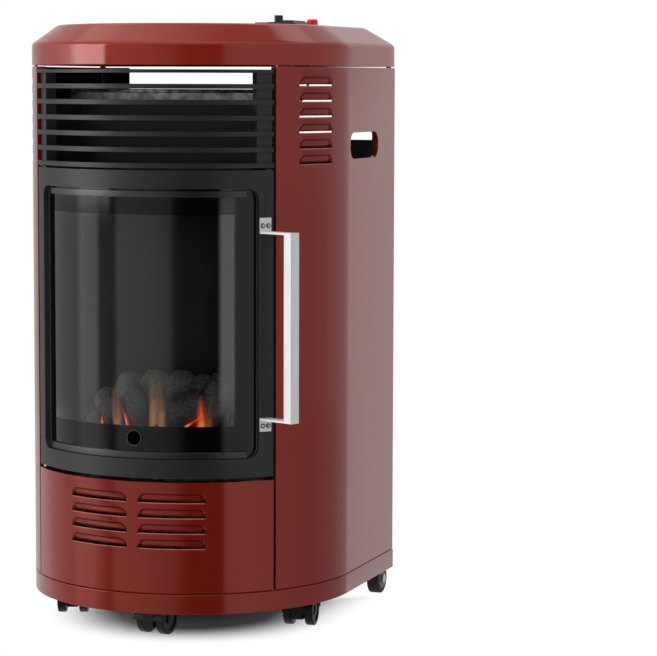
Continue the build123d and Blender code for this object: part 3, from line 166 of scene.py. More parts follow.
class Finish:
    """One procedural material: a Principled shader and the nodes that feed it."""

    def __init__(self, name, **settings):
        self.material = bpy.data.materials.new(name)
        self.material.use_nodes = True
        self.tree = self.material.node_tree
        self.shader = self.tree.nodes["Principled BSDF"]
        self.output = self.tree.nodes["Material Output"]
        self.set(**settings)

    def feed(self, socket, value):
        if isinstance(value, Wire):
            self.tree.links.new(value.socket, socket)
        elif isinstance(value, tuple) and len(value) == 3 and socket.type == "RGBA":
            socket.default_value = (*value, 1.0)
        else:
            socket.default_value = value

    def set(self, **settings):
        """Feeds the Principled sockets: Base_Color=..., Roughness=... and so on."""
        for key, value in settings.items():
            self.feed(self.shader.inputs[key.replace("_", " ")], value)
        return self

    def node(self, kind, settings=None, *values, out=0, **named):
        """Adds a node, sets its options first, feeds its inputs and returns an output, by number or name."""
        made = self.tree.nodes.new(kind)
        for key, value in (settings or {}).items():
            if key == "stops":
                stops = made.color_ramp.elements
                while len(stops) < len(value):
                    stops.new(0.5)
                for stop, (place, colour) in zip(stops, value):
                    stop.position = place
                    stop.color = (*colour, 1.0)
            else:
                setattr(made, key, value)
        for socket, value in zip(made.inputs, values):
            self.feed(socket, value)
        for key, value in named.items():
            self.feed(made.inputs[key.replace("_", " ")], value)
        return Wire(self, made.outputs[out])

    def axes(self, vector):
        """The X, Y and Z of a vector, as three wires."""
        split = self.node("ShaderNodeSeparateXYZ", None, vector).socket.node
        return [Wire(self, socket) for socket in split.outputs]

    def place(self, scale=(1, 1, 1)):
        """Object coordinates, stretched by scale."""
        where = self.node("ShaderNodeTexCoord", out="Object")
        return self.node("ShaderNodeMapping", None, Vector=where, Scale=scale)

    def noise(self, scale, detail=3.0, rough=0.5, stretch=(1, 1, 1)):
        """Noise of about 1 / scale metres; a small stretch along an axis draws it out that way."""
        return self.node("ShaderNodeTexNoise", None, Vector=self.place(stretch), Scale=scale,
                         Detail=detail, Roughness=rough)

    def colours(self, factor, first, second):
        """Colour between first and second. A Mix node keeps its colours in inputs 6 and 7."""
        mixed = self.node("ShaderNodeMix", {"data_type": "RGBA"}, out=2)
        for index, value in ((0, factor), (6, first), (7, second)):
            self.feed(mixed.socket.node.inputs[index], value)
        return mixed

    def shaders(self, factor, first, second):
        """Mix of two shaders."""
        return self.node("ShaderNodeMixShader", None, factor, first, second)

    def bump(self, height, strength, distance):
        """Normal tilted by a height that counts distance metres to 1, and by strength as a share."""
        self.set(Normal=self.node("ShaderNodeBump", None, Strength=strength, Distance=distance,
                                  Height=height))
        return self


print("finishes for Blender", bpy.app.version_string)

# %% [markdown]
# ## Studio
# A glossy enamel shows whatever stands round it, so the studio is painted as a world shader: a ring of walls
# with a tall soft box to the left of the camera, a dark gap to the right of it, and a pale ceiling. The walls
# differ with height, so there is one ring for what the foot of the cabinet mirrors, one for the window and
# one for the lid. Camera rays see white.

# %% World
world = bpy.data.worlds.new("studio")
bpy.context.scene.world = world
world.use_nodes = True


class Room(Finish):
    """The world's node tree, with the same methods as a finish."""

    def __init__(self, tree):
        self.tree = tree
        self.shader = tree.nodes["Background"]


room = Room(world.node_tree)
# in a world, the first texture coordinate is the direction of the ray
ray_x, ray_y, ray_z = room.axes(room.node("ShaderNodeTexCoord"))
compass = ray_x.maths("ARCTAN2", 0 - ray_y) / (2 * math.pi) + 0.5


def ring(*stops):
    """Brightness round the horizon, from (degrees from the front towards +X, brightness) pairs."""
    return room.node("ShaderNodeValToRGB", {
        "stops": [((angle + 180) / 360, (level,) * 3) for angle, level in stops]}, compass)


low_walls = ring(
    (-180, 0.75), (-160, 0.65), (-145, 0.55), (-110, 0.68), (-96, 0.6), (-76, 0.46), (-70, 0.75), (-56, 0.72),
    (-43, 0.15), (-40, 0.15), (-36, 0.47), (-20, 0.42), (-4, 0.32), (6, 0.23), (12, 0.08), (16, 0.0),
    (40, 0.0), (44, 0.45), (60, 0.5), (110, 0.33), (152, 0.38), (159.5, 0.42), (162.0, 0.78), (180, 0.75))
window_walls = ring(
    (-180, 0.75), (-160, 0.65), (-145, 0.55), (-116, 0.42), (-96, 0.4), (-76, 0.42), (-70, 0.85), (-56, 0.75),
    (-52, 0.2), (-40, 0.15), (-36, 0.47), (-20, 0.42), (-4, 0.34), (3, 0.26), (7, 0.05), (12, 0.0),
    (38, 0.0), (42, 1.1), (50, 1.1), (52, 0.52), (110, 0.42), (152, 0.42), (159.5, 0.44), (162.0, 0.78),
    (180, 0.72))
high_walls = ring(
    (-180, 0.75), (-160, 0.65), (-145, 0.55), (-110, 0.5), (-90, 0.9), (-76, 1.8), (-69, 4.2), (-66, 4.5),
    (-45, 4.5), (-42, 0.3), (-36, 0.5), (-20, 0.42), (-4, 0.32), (6, 0.23), (12, 0.08), (16, 0.0),
    (40, 0.0), (44, 0.48), (60, 0.55), (110, 0.5), (152, 0.48), (159.5, 0.5), (162.0, 0.8), (180, 0.75))
ceiling = ring(
    (-180, 0.27), (-160, 0.4), (-136, 0.65), (-120, 0.85), (-40, 0.9), (40, 0.9), (120, 0.4), (165, 0.22),
    (180, 0.25))
print("four rings of walls and ceiling")

# %% [markdown]
# The height of a ray, from -1 straight down to 1 straight up, picks the ring that it meets. Short ramps
# blend one ring into the next, so that no hard line shows in a mirror.

# %% Rings joined by height
window_foot, window_top, wall_top = (-0.135, -0.12), (-0.055, -0.025), (0.25, 0.45)
upper_step, ceiling_edge = (0.6, 0.68), (0.76, 0.82)
walls = room.colours(ray_z.ramp(*window_foot), low_walls, window_walls)
walls = room.colours(ray_z.ramp(*window_top), walls, high_walls)
upper = room.colours(ray_z.ramp(*upper_step), (0.5, 0.5, 0.49), (0.9, 0.9, 0.88))
light = room.colours(ray_z.ramp(*wall_top), walls, upper)
light = room.colours(ray_z.ramp(*ceiling_edge), light, ceiling)
seen = room.node("ShaderNodeLightPath", out="Is Camera Ray")
room.set(Color=room.colours(seen, light, (1.0, 1.0, 1.0)), Strength=1.0)
print("world nodes:", len(room.tree.nodes))

# %% [markdown]
# Three soft lamps add what the walls are too even for: a top light that shades the front under the lid, and
# a left one stronger than the right one, which makes the front look round. They show in no mirror.

# %% Lamps


def lamp(name, place, aim, size, power):
    """Soft square lamp at place that shines towards aim."""
    data = bpy.data.lights.new(name, "AREA")
    data.size = size
    data.energy = power
    made = bpy.data.objects.new(name, data)
    bpy.context.scene.collection.objects.link(made)
    made.location = place
    made.rotation_mode = "QUATERNION"
    made.rotation_quaternion = (Vector(aim) - Vector(place)).to_track_quat("-Z", "Y")
    made.visible_glossy = made.visible_camera = False
    print(name, power, "W")


heater_middle = (cad_low + cad_high) / 2
lamp("top_box", (-0.5, -0.5, 2.1), heater_middle, 1.2, 20)
lamp("left_box", (-1.9, -1.2, 1.3), heater_middle, 1.0, 14)
lamp("right_fill", (1.8, -1.4, 1.3), heater_middle, 1.0, 9)

# %% [markdown]
# ## Floor
# The floor is a white sweep. Under the heater it is diffuse and keeps the shadow, and deep inside the outline
# its colour turns grey, a painted shadow; further out it fades into even white for the camera, so that no
# horizon shows. The fade and the painted shadow follow the distance to the cabinet's outline, negative inside
# it. Glossy rays pass through the floor, so that the upright bands in the enamel run down to the plinth.

# %% Floor
floor_half = 6.0
floor_mesh = bpy.data.meshes.new("floor")
floor_corners = [(x * floor_half, y * floor_half, 0.0) for x, y in ((-1, -1), (1, -1), (1, 1), (-1, 1))]
floor_mesh.from_pydata(floor_corners, [], [(0, 1, 2, 3)])
floor = bpy.data.objects.new("floor", floor_mesh)
bpy.context.scene.collection.objects.link(floor)

sweep = Finish("floor_white", Roughness=0.9, Specular_IOR_Level=0.0)
spot_x, spot_y, _ = sweep.axes(sweep.place())
ahead = (spot_y - axis_y).maths("MINIMUM", 0.0)
from_axis = (spot_x * spot_x + ahead * ahead).maths("SQRT")
outside = (from_axis - cabinet_radius).maths("MAXIMUM", spot_y - side_end_y)
# painted shadow: the floor colour darkens from white to grey well inside the cabinet's outline
sweep.set(Base_Color=sweep.colours(outside.ramp(-0.2, -0.1), (0.25, 0.25, 0.25), (0.93, 0.93, 0.93)))
far_out = outside.ramp(-0.11, -0.005) * sweep.node("ShaderNodeLightPath", out="Is Camera Ray")
glow = sweep.node("ShaderNodeEmission", None, (1.0, 1.0, 1.0), 1.0)
lit = Wire(sweep, sweep.shader.outputs[0])
clear_floor = sweep.node("ShaderNodeBsdfTransparent", None, (1.0, 1.0, 1.0))
glossy_ray = sweep.node("ShaderNodeLightPath", out="Is Glossy Ray")
sweep.feed(sweep.output.inputs[0],
           sweep.shaders(glossy_ray, sweep.shaders(far_out, lit, glow), clear_floor))
floor_mesh.materials.append(sweep.material)
print("floor", 2 * floor_half, "m wide")

# %% [markdown]
# ## Enamel and painted sheet
# The cabinet is enamelled outside, and its inner faces are painted black as painted shade for the dark inside
# of the cabinet; a sheet is too thin to be two pieces. A mask from the direction of the surface, outwards or
# inwards, tells the two faces apart.

# %% Outward mask


def outward(finish):
    """1 where the surface looks away from the cabinet's axis or up or down, 0 where it looks inwards.

    It is a ramp over normal . place, which is plus or minus the radius on upright sheets and 0 on level
    ones. The place is taken from the axis on the round front and along X on the straight sides."""
    x, y, _ = finish.axes(finish.place())
    normal_x, normal_y, _ = finish.axes(finish.node("ShaderNodeTexCoord", out="Normal"))
    ahead = (y - axis_y).maths("MINIMUM", 0.0)
    facing_in, facing_level = -0.12, -0.05
    return (normal_x * x + normal_y * ahead).ramp(facing_in, facing_level)


print("outward mask about the axis at y", round(axis_y, 4))

# %% [markdown]
# Round each louvre the sheet is drawn in along a soft shoulder that is finer than the solid shows. Its height
# comes from the same maths as a surface would: the distances along the arc and up the panel meet in a smooth
# minimum, and a ramp over it gives the step. The height goes into a bump. The masks of the shoulder and of
# the lip, the cut edge below the slot, go into the colour: painted shade darkens the shoulder and thins its
# clear coat, and a painted highlight lightens the lip.

# %% Louvre relief


def louvre_relief(finish, middle, half, foot, pitch, rows):
    """Relief of the sheet round its louvres: height for a bump, masks for painted shade and a painted
    highlight.

    A louvre spans middle - half to middle + half degrees of the arc, on both sides of the cabinet, and
    foot is the height of the lowest one. With s the distance to its end and h the rise above its foot,
    the inside of its leaf is smooth_min(s - taper h, leaf_height - h), positive inside."""
    leaf_height, taper, corner = 0.0112, 0.45, 0.005
    step_depth, step_width = 0.0022, 0.0022
    crease_start, crease_middle, crease_end = -0.0004, 0.001, 0.0032
    lip_height, lip_depth, lip_end = 0.0014, 0.001, 0.002
    below_lip, sharp = 0.0017, 0.0001
    x, y, z = finish.axes(finish.place())
    along = x.maths("ABSOLUTE").maths("ARCTAN2", axis_y - y) * cabinet_radius
    from_middle = (along - math.radians(middle) * cabinet_radius).maths("ABSOLUTE")
    from_end = math.radians(half) * cabinet_radius - from_middle
    rise = (z - foot).maths("FLOORED_MODULO", pitch)
    inside = (from_end - rise * taper).maths("SMOOTH_MIN", leaf_height - rise, corner)
    first = foot - below_lip
    last = first + rows * pitch
    in_rows = z.ramp(first, first + sharp) * z.ramp(last, last + sharp, 1.0, 0.0)
    shoulder = (inside.ramp(crease_start, crease_middle)
                * inside.ramp(crease_middle, crease_end, 1.0, 0.0))
    lip = rise.ramp(pitch - lip_height, pitch) * from_end.ramp(0.0, lip_end)
    height = inside.ramp(0.0, step_width) * -step_depth - lip * lip_depth
    return height * in_rows, shoulder * in_rows, lip * in_rows


front_louvres = dict(middle=13.75, half=11.75, foot=plinth_high.z + 0.0532, pitch=0.0182, rows=4)
side_louvres = dict(middle=68.5, half=8.5, foot=lid_low.z - 0.116, pitch=0.0184, rows=6)
print("louvre pitch", front_louvres["pitch"], "in front,", side_louvres["pitch"], "at the sides")

# %% [markdown]
# The outside is a deep red baked enamel. Light meets two layers: a clear top that mirrors the room, and a
# coloured coat whose own reflection is red. A half-metallic base gives that tinted reflection, and the
# clear coat the white one. A very low bump, like orange peel, keeps the mirror from being perfect. The lid,
# sprayed flat on its own rack, has less of the tinted reflection than the upright sheets.

# %% Red enamel


def dress(finish, *names):
    """Gives the finish to these solids."""
    for name in names:
        materials = nodes[name].data.materials
        materials.clear()
        materials.append(finish.material)
    print(finish.material.name, "on", len(names))


def enamel(name, metallic, louvres=None):
    """Red baked enamel outside, painted shade in matt black inside; metallic is the share of the tinted
    reflection.
    """
    made = Finish(name, Coat_Roughness=0.03, Specular_IOR_Level=0.0)
    outer = outward(made)
    red = made.colours(made.noise(3.0, 2.0), (0.205, 0.0145, 0.0075), (0.235, 0.0175, 0.0085))
    coat = outer
    relief = made.noise(260.0, 1.0) * 0.00002
    if louvres:
        height, shoulder, lip = louvre_relief(made, **louvres)
        # painted shade darkens the shoulder round each louvre and thins its clear coat; a painted highlight
        # lightens the lip
        crease_shaded = made.colours(shoulder * 0.65, red, (0.03, 0.002, 0.001))
        red = made.colours(lip * 0.8, crease_shaded, (0.50, 0.22, 0.19))
        coat = outer * (1 - shoulder * 0.8)
        relief = relief + height
    # painted shade: the inner faces, which look into the dark cabinet, are matt black
    made.set(Base_Color=made.colours(outer, (0.010, 0.010, 0.010), red))
    made.set(Metallic=outer * metallic, Coat_Weight=coat)
    made.set(Roughness=outer.ramp(0.0, 1.0, 0.6, 0.15) + made.noise(6.0, 2.0) * 0.04)
    made.bump(relief, 1.0, 1.0)
    return made


red_enamel = enamel("red_enamel", 0.5)
dress(red_enamel, "base_plinth")
front_enamel = enamel("front_enamel", 0.5, front_louvres)
dress(front_enamel, "lower_front_panel")
side_enamel = enamel("side_enamel", 0.5, side_louvres)
dress(side_enamel, "side_panel_left", "side_panel_right")
lid_enamel = enamel("lid_enamel", 0.2)
dress(lid_enamel, "top_cover")

# %% [markdown]
# The door, the grille and the inner sheets wear a heat-proof black paint. It is satin, a little rougher
# where hands and heat have dulled it, with the fine grain of a sprayed coat.

# %% Black paints


def sprayed(name, colour, rough_low, rough_high, grain=0.12):
    """Sprayed paint: uneven satin with a fine grain. The grain is noise of about half a millimetre."""
    paint = Finish(name)
    cloud = paint.noise(7.0, 3.0)
    darker = tuple(0.8 * part for part in colour)
    paint.set(Base_Color=paint.colours(cloud, darker, colour))
    paint.set(Roughness=cloud.ramp(0.3, 0.7, rough_low, rough_high))
    paint.bump(paint.noise(1400.0, 2.0), grain, 0.0003)
    return paint


black_enamel = sprayed("black_enamel", (0.011, 0.011, 0.011), 0.36, 0.44)
dress(black_enamel, "front_grille", "door_frame", "rear_cover", "glass_clips", "catch_strike")
hot_black = sprayed("hot_black", (0.014, 0.0138, 0.0135), 0.55, 0.7, 0.25)
dress(hot_black, "firebox_floor", "burner_tray")
frame_black = sprayed("frame_black", (0.02, 0.02, 0.021), 0.45, 0.6)
dress(frame_black, "base_tray", "lid_brackets", "hinge_brackets", "rear_wheel_brackets", "valve_bracket",
      "door_catch_magnet")

# %% [markdown]
# The firebox is folded from aluminised sheet. Its back wall, behind the flames, is scorched black, and the
# two side walls are a dull grey. From a little below the top of the door upwards, behind the grille, the side
# walls turn as black as the back wall: painted shade. The direction of the surface, along X or along Y, tells
# the walls apart.

# %% Scorched firebox
scorched = Finish("scorched_sheet", Roughness=0.6, Specular_IOR_Level=0.25)
soot = scorched.noise(9.0, 4.0)
soot_and_shade_black = scorched.colours(soot, (0.009, 0.0089, 0.0088), (0.02, 0.0198, 0.0195))
grey_wall = scorched.colours(soot, (0.17, 0.17, 0.168), (0.24, 0.24, 0.236))
normal_x = scorched.axes(scorched.node("ShaderNodeTexCoord", out="Normal"))[0]
side_wall = normal_x.maths("ABSOLUTE").ramp(0.5, 0.85)
wall_height = scorched.axes(scorched.place())[2]
below_grille_shade = wall_height.ramp(door_high.z - 0.07, door_high.z - 0.03, 1.0, 0.0)
# painted shade: from a little below the door's top the side walls turn black, for the dark behind the grille
scorched.set(Base_Color=scorched.colours(side_wall * below_grille_shade, soot_and_shade_black, grey_wall))
scorched.bump(scorched.noise(700.0, 2.0), 0.2, 0.0003)
dress(scorched, "firebox_liner")

# %% [markdown]
# ## Metals
# The heat shield is galvanised: zinc crystals of a few millimetres, each with its own tone and gloss, under
# stains. A Voronoi texture gives the crystals, and a noise the stains.

# %% Galvanised sheet
galvanised = Finish("galvanised", Metallic=1.0)
crystals = galvanised.node("ShaderNodeTexVoronoi", {"feature": "F1"}, Vector=galvanised.place(),
                           Scale=120.0, out="Color")
tone = galvanised.node("ShaderNodeSeparateColor", None, crystals)
stain = galvanised.noise(75.0, 6.0, 0.7)
mottle = stain.ramp(0.36, 0.66) * 0.8 + tone * 0.2
galvanised.set(Base_Color=galvanised.colours(mottle, (0.12, 0.122, 0.125), (0.60, 0.605, 0.61)))
galvanised.set(Roughness=tone.ramp(0.0, 1.0, 0.32, 0.58))
galvanised.bump(stain, 0.2, 0.0005)
dress(galvanised, "heat_shield", "burner_mixing_tube")

# %% [markdown]
# The handle is stainless steel brushed along its length, so its grain is a noise stretched in Z. The pipes,
# pins and brass fittings have drawn or turned surfaces. The handle's screw solids are a near-black steel, a
# painted shadow: their rim round each bright head stands for the shaded gap round it.

# %% Bright metals


def metal(name, colour, rough, grain, stretch, scale=900.0):
    """Drawn or brushed metal: noise stretched along the working direction moves tone and gloss."""
    made = Finish(name, Metallic=1.0)
    lines = made.noise(scale, 2.0, 0.6, stretch)
    darker = tuple(0.82 * part for part in colour)
    made.set(Base_Color=made.colours(lines, darker, colour))
    made.set(Roughness=lines.ramp(0.25, 0.75, rough * 0.8, rough * 1.25))
    made.bump(lines, grain, 0.0002)
    return made


brushed_handle = metal("brushed_handle", (0.95, 0.945, 0.935), 0.6, 0.25, (1, 1, 0.02))
brushed_handle.set(Metallic=0.8)
dress(brushed_handle, "handle_bar", "handle_brackets")
bright_steel = metal("bright_steel", (0.70, 0.70, 0.69), 0.3, 0.1, (1, 1, 1), 300.0)
dress(bright_steel, "hinge_pins", "rear_axles", "pilot_burner", "valve_stem")
# painted shadow: the near-black rim of each screw round its bright head
screw_rim_shade = metal("screw_rim_shade", (0.10, 0.10, 0.098), 0.5, 0.1, (1, 1, 1), 300.0)
dress(screw_rim_shade, "handle_screws")
brass = metal("brass", (0.72, 0.52, 0.24), 0.28, 0.12, (1, 1, 1), 400.0)
dress(brass, "injector_holder", "gas_inlet")
cast_alloy = metal("cast_alloy", (0.55, 0.55, 0.56), 0.5, 0.35, (1, 1, 1), 500.0)
dress(cast_alloy, "gas_valve")
pipe_metal = metal("pipe_metal", (0.70, 0.69, 0.66), 0.3, 0.1, (1, 1, 0.05), 700.0)
dress(pipe_metal, "gas_pipe", "pilot_pipe", "thermocouple")
grey_trim = metal("grey_trim", (0.10, 0.102, 0.105), 0.34, 0.1, (1, 1, 6), 300.0)
dress(grey_trim, "glass_bead_top", "glass_bead_bottom", "sight_port")

# %% [markdown]
# ## Plastics, rubber and ceramic
# The control panel, the knob and the castors are moulded black plastic with a fine texture. The push button
# is a glossy red one. The rear tyres are matt rubber on grey hubs.

# %% Moulded parts
black_plastic = sprayed("black_plastic", (0.026, 0.027, 0.029), 0.36, 0.46, 0.3)
dress(black_plastic, "control_bezel", "control_knob", "igniter_body")
castor_black = sprayed("castor_black", (0.008, 0.008, 0.0085), 0.34, 0.46, 0.15)
castor_black.set(Specular_IOR_Level=0.3)
dress(castor_black, *[name for name in nodes if name.startswith("castor_")])
tyre_rubber = sprayed("tyre_rubber", (0.018, 0.018, 0.018), 0.6, 0.75, 0.5)
dress(tyre_rubber, "rear_tyre_left", "rear_tyre_right")
hub_grey = sprayed("hub_grey", (0.12, 0.12, 0.125), 0.4, 0.5, 0.15)
dress(hub_grey, "rear_hub_left", "rear_hub_right")
red_plastic = Finish("red_plastic", Roughness=0.22, Coat_Weight=0.4, Coat_Roughness=0.1)
red_plastic.set(Base_Color=red_plastic.colours(red_plastic.noise(60.0), (0.62, 0.004, 0.012),
                                               (0.70, 0.006, 0.018)))
red_plastic.bump(red_plastic.noise(900.0, 1.0), 0.08, 0.0002)
dress(red_plastic, "igniter_button")
white_ceramic = sprayed("white_ceramic", (0.78, 0.76, 0.70), 0.15, 0.25, 0.05)
dress(white_ceramic, "spark_electrode")
lead_sleeve = sprayed("lead_sleeve", (0.62, 0.60, 0.55), 0.5, 0.6, 0.2)
dress(lead_sleeve, "igniter_lead")

# %% [markdown]
# The glass lies on a rope gasket of dark glass fibre. Diagonal bands, a little distorted, give its plait.

# %% Woven gasket
gasket_rope = Finish("gasket_rope", Roughness=0.9)
weave = gasket_rope.node("ShaderNodeTexWave", {"wave_type": "BANDS", "bands_direction": "DIAGONAL"},
                         Vector=gasket_rope.place(), Scale=700.0, Distortion=2.0)
strands = gasket_rope.node("ShaderNodeSeparateColor", None, weave)
gasket_rope.set(Base_Color=gasket_rope.colours(strands, (0.03, 0.03, 0.03), (0.14, 0.14, 0.135)))
gasket_rope.bump(strands, 0.6, 0.0005)
dress(gasket_rope, "glass_gasket")

# %% [markdown]
# ## Door glass
# The pane is clear in the middle and printed black on its inner face round the edge. Both parts mirror the
# room alike. A mask in angle and height finds the clear window: the angle comes from the arctangent of the
# position about the cabinet's arc axis. Where it is clear, a Fresnel factor mixes a mirror into a
# transparent shader, on the outer face alone, and about doubled to stand for both faces. Where it is
# printed, the same gloss lies on black, apart from the matt disc inside the ring of the sight port.

# %% Window, outer face and sight port
clear_left, clear_right = -40.0, 35.8    # degrees from the middle of the front
clear_low = door_low.z + 0.0605
clear_high = door_high.z - 0.0523
print_edge = 0.0006

pane = Finish("door_glass", Base_Color=(0.0015, 0.0015, 0.0015), Roughness=0.04)
pane_x, pane_y, pane_z = pane.axes(pane.place())
pane_angle = pane_x.maths("ARCTAN2", axis_y - pane_y) * (180 / math.pi)
edge_degrees = math.degrees(print_edge / cabinet_radius)
clear = (pane_angle.ramp(clear_left - edge_degrees, clear_left)
         * pane_angle.ramp(clear_right, clear_right + edge_degrees, 1.0, 0.0)
         * pane_z.ramp(clear_low - print_edge, clear_low)
         * pane_z.ramp(clear_high, clear_high + print_edge, 1.0, 0.0))

ahead_y = pane_y - axis_y
pane_radius = (pane_x * pane_x + ahead_y * ahead_y).maths("SQRT")
outer_radius = axis_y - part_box("door_glass")[0].y
middle_of_glass = outer_radius - 0.002
outer_face = pane_radius.ramp(middle_of_glass - 0.0002, middle_of_glass + 0.0002)

port_low, port_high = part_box("sight_port")
port_middle = (port_low + port_high) / 2
port_radius = (port_high.z - port_low.z) / 2
across_port, up_port = pane_x - port_middle.x, pane_z - port_middle.z
from_port = (across_port * across_port + up_port * up_port).maths("SQRT")
in_port = from_port.ramp(port_radius - 0.0006, port_radius - 0.0002, 1.0, 0.0)
print("clear window", clear_right - clear_left, "degrees wide,", round(clear_high - clear_low, 3), "m high")

# %% Glass with a printed border
mirror = pane.node("ShaderNodeBsdfGlossy", None, (1.0, 1.0, 1.0), 0.015)
open_glass = pane.node("ShaderNodeBsdfTransparent", None, (0.80, 0.81, 0.81))
fresnel = pane.node("ShaderNodeFresnel", None, 1.5)
clear_shader = pane.shaders(fresnel * 1.9 * outer_face, open_glass, mirror)
matt_disc = pane.node("ShaderNodeBsdfDiffuse", None, (0.0015, 0.0015, 0.0015))
printed = pane.shaders(in_port, Wire(pane, pane.shader.outputs[0]), matt_disc)
pane.feed(pane.output.inputs[0], pane.shaders(clear, printed, clear_shader))
dress(pane, "door_glass")

# %% [markdown]
# ## Soft edges
# Folded and pressed sheet has no sharp edge, and each fold catches a line of light. The solids come as loose
# triangles, so a Weld modifier joins them first. A Bevel modifier then rounds every edge that turns by more
# than a set angle, and a Weighted Normal modifier keeps the large faces flat beside it. All three are
# modifiers, so the solids themselves stay as they are.

# %% Soft edges
sharp_angle = math.radians(32)


def soften(width, *names):
    """Rounds the sharp edges of these solids to a width in metres."""
    for name in names:
        weld = nodes[name].modifiers.new("weld", "WELD")
        weld.merge_threshold = 1e-6
        bevel = nodes[name].modifiers.new("soft_edges", "BEVEL")
        bevel.width = width
        bevel.segments = 2
        bevel.limit_method = "ANGLE"
        bevel.angle_limit = sharp_angle
        smooth = nodes[name].modifiers.new("weighted_normals", "WEIGHTED_NORMAL")
        smooth.weight = 100
    print("softened", len(names), "by", round(width / MM, 1), "mm")


soften(0.7 * MM, "lower_front_panel", "side_panel_left", "side_panel_right")
soften(0.9 * MM, "door_frame", "base_plinth", "front_grille", "rear_cover")
soften(0.4 * MM, "handle_bar", "handle_brackets", "control_bezel", "control_knob", "glass_bead_top",
       "glass_bead_bottom")

# %% [markdown]
# ## Surfaces from formulas
# The added pieces are grids: two parameters run over rows and columns, numpy works out every point at once,
# and neighbouring points are joined into faces. A round shape closes on itself, so the last column is joined
# to the first. Where a whole row shrinks to one place, as at the poles of a ball, its points are merged.

# %% Grid to mesh
same_place = 1e-7


def join_faces(rows, columns, closed=False):
    """Quads between neighbouring grid points; closed joins the last column to the first."""
    row, column = np.meshgrid(np.arange(rows - 1), np.arange(columns if closed else columns - 1),
                              indexing="ij")
    row, column = row.ravel(), column.ravel()
    next_column = (column + 1) % columns
    return np.stack([row * columns + column, row * columns + next_column,
                     (row + 1) * columns + next_column, (row + 1) * columns + column], axis=1)


def make_piece(name, points, faces, finish, body):
    """Smooth mesh object from numpy points and faces, dressed and riding on a body."""
    mesh = bpy.data.meshes.new(name)
    mesh.from_pydata(points.reshape(-1, 3).tolist(), [], [list(map(int, face)) for face in faces])
    mesh.polygons.foreach_set("use_smooth", [True] * len(mesh.polygons))
    mesh.materials.append(finish.material)
    mesh.update()
    made = bpy.data.objects.new(name, mesh)
    bpy.context.scene.collection.objects.link(made)
    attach(made, body)
    print(name, len(mesh.vertices), "points", len(mesh.polygons), "faces")
    return made


def close_poles(piece):
    """Merges the points that meet at each pole, so that the quads round it become triangles."""
    before = len(piece.data.vertices)
    shape = bmesh.new()
    shape.from_mesh(piece.data)
    bmesh.ops.remove_doubles(shape, verts=shape.verts, dist=same_place)
    shape.to_mesh(piece.data)
    shape.free()
    print(piece.name, "merged", before - len(piece.data.vertices), "points")


# %% [markdown]
# ## Lid with rolled edges
# The lid is pressed from one sheet: an upright skirt, a sloped shoulder and a flat top, with the metal rolled
# round between them. A profile of inset and height is carried round the plan. The plan point for an inset d
# is the outline moved inwards by d: the arc shrinks, the straight sides come in, and the rear corners keep
# a small radius until the inset has used it up.

# %% Plan of the lid
rear_corner = 0.006
front_points, side_points, corner_points, back_points = 97, 8, 7, 10


def lid_plan(inset):
    """Closed outline of the lid moved inwards by inset: half circle, two sides and a flat back."""
    radius = cabinet_radius - inset
    theta = np.linspace(-np.pi / 2, np.pi / 2, front_points)
    front = np.stack([radius * np.sin(theta), axis_y - radius * np.cos(theta)], axis=1)
    roll = max(rear_corner - inset, 0.0)
    keep = max(rear_corner, inset)
    turn_angle = np.linspace(0, np.pi / 2, corner_points)
    corner = np.stack([cabinet_radius - keep + roll * np.cos(turn_angle),
                       lid_high.y - keep + roll * np.sin(turn_angle)], axis=1)
    back_x = np.linspace(cabinet_radius - keep, -cabinet_radius + keep, back_points + 2)[1:-1]
    back = np.stack([back_x, np.full(back_points, lid_high.y - inset)], axis=1)
    side_y = np.linspace(axis_y, corner[0, 1], side_points + 2)[1:-1]
    side = np.stack([np.full(side_points, radius), side_y], axis=1)
    flip = np.array([-1.0, 1.0])
    return np.concatenate([front, side, corner, back, corner[::-1] * flip, side[::-1] * flip])


print("points round the lid:", len(lid_plan(0.0)))

# %% [markdown]
# The profile runs from inside the skirt, round its lower edge, up the outside and over the shoulder to the
# flat top. Its folds are rounded, and the innermost ring is closed by one flat face.

# %% Lid
skirt_top = lid_low.z + 0.026
shoulder_inset, flat_inset = 0.032, 0.06
fold_radius = 0.0038
lid_sheet = 0.0015
inner_skirt = 0.02


def rolled(points, radius, steps=6):
    """Profile through (inset, height) points with each inner corner rounded to the radius.

    The corner is replaced by a quadratic curve from one tangent point to the other, with two more
    points beside it that keep the flat stretches flat."""
    path = [np.array(points[0], float)]
    for before, corner, after in zip(points[:-2], points[1:-1], points[2:]):
        before, corner, after = (np.array(p, float) for p in (before, corner, after))
        into = (corner - before) / np.linalg.norm(corner - before)
        away = (after - corner) / np.linalg.norm(after - corner)
        start, end = corner - into * radius, corner + away * radius
        t = np.linspace(0, 1, steps)[:, None]
        path.append(start - into * radius * 0.4)
        path.extend((1 - t) ** 2 * start + 2 * t * (1 - t) * corner + t ** 2 * end)
        path.append(end + away * radius * 0.4)
    path.append(np.array(points[-1], float))
    return np.array(path)


profile = np.concatenate([
    [(lid_sheet, lid_low.z + inner_skirt), (lid_sheet, lid_low.z + 0.0004)],
    [(lid_sheet / 2, lid_low.z), (0.0004, lid_low.z + 0.0001), (0, lid_low.z + 0.0006)],
    rolled([(0, lid_low.z + 0.001), (0, skirt_top), (shoulder_inset, lid_high.z), (flat_inset, lid_high.z)],
           fold_radius),
])
rings = np.array([np.column_stack([lid_plan(inset), np.full(len(lid_plan(inset)), height)])
                  for inset, height in profile])
ring_count, ring_points = rings.shape[:2]
faces = join_faces(ring_count, ring_points, closed=True).tolist()
faces.append([(ring_count - 1) * ring_points + i for i in range(ring_points)])
lid_shell = make_piece("lid_shell", rings, faces, lid_enamel, "cabinet")
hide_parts("top_cover")

# %% [markdown]
# ## Hem of the heat shield
# The upper edge of the shield is folded over, so that it isn't sharp, and that fold catches the light behind
# the grille. It is an oval profile carried straight along X: y = a cos(angle), z = b sin(angle).

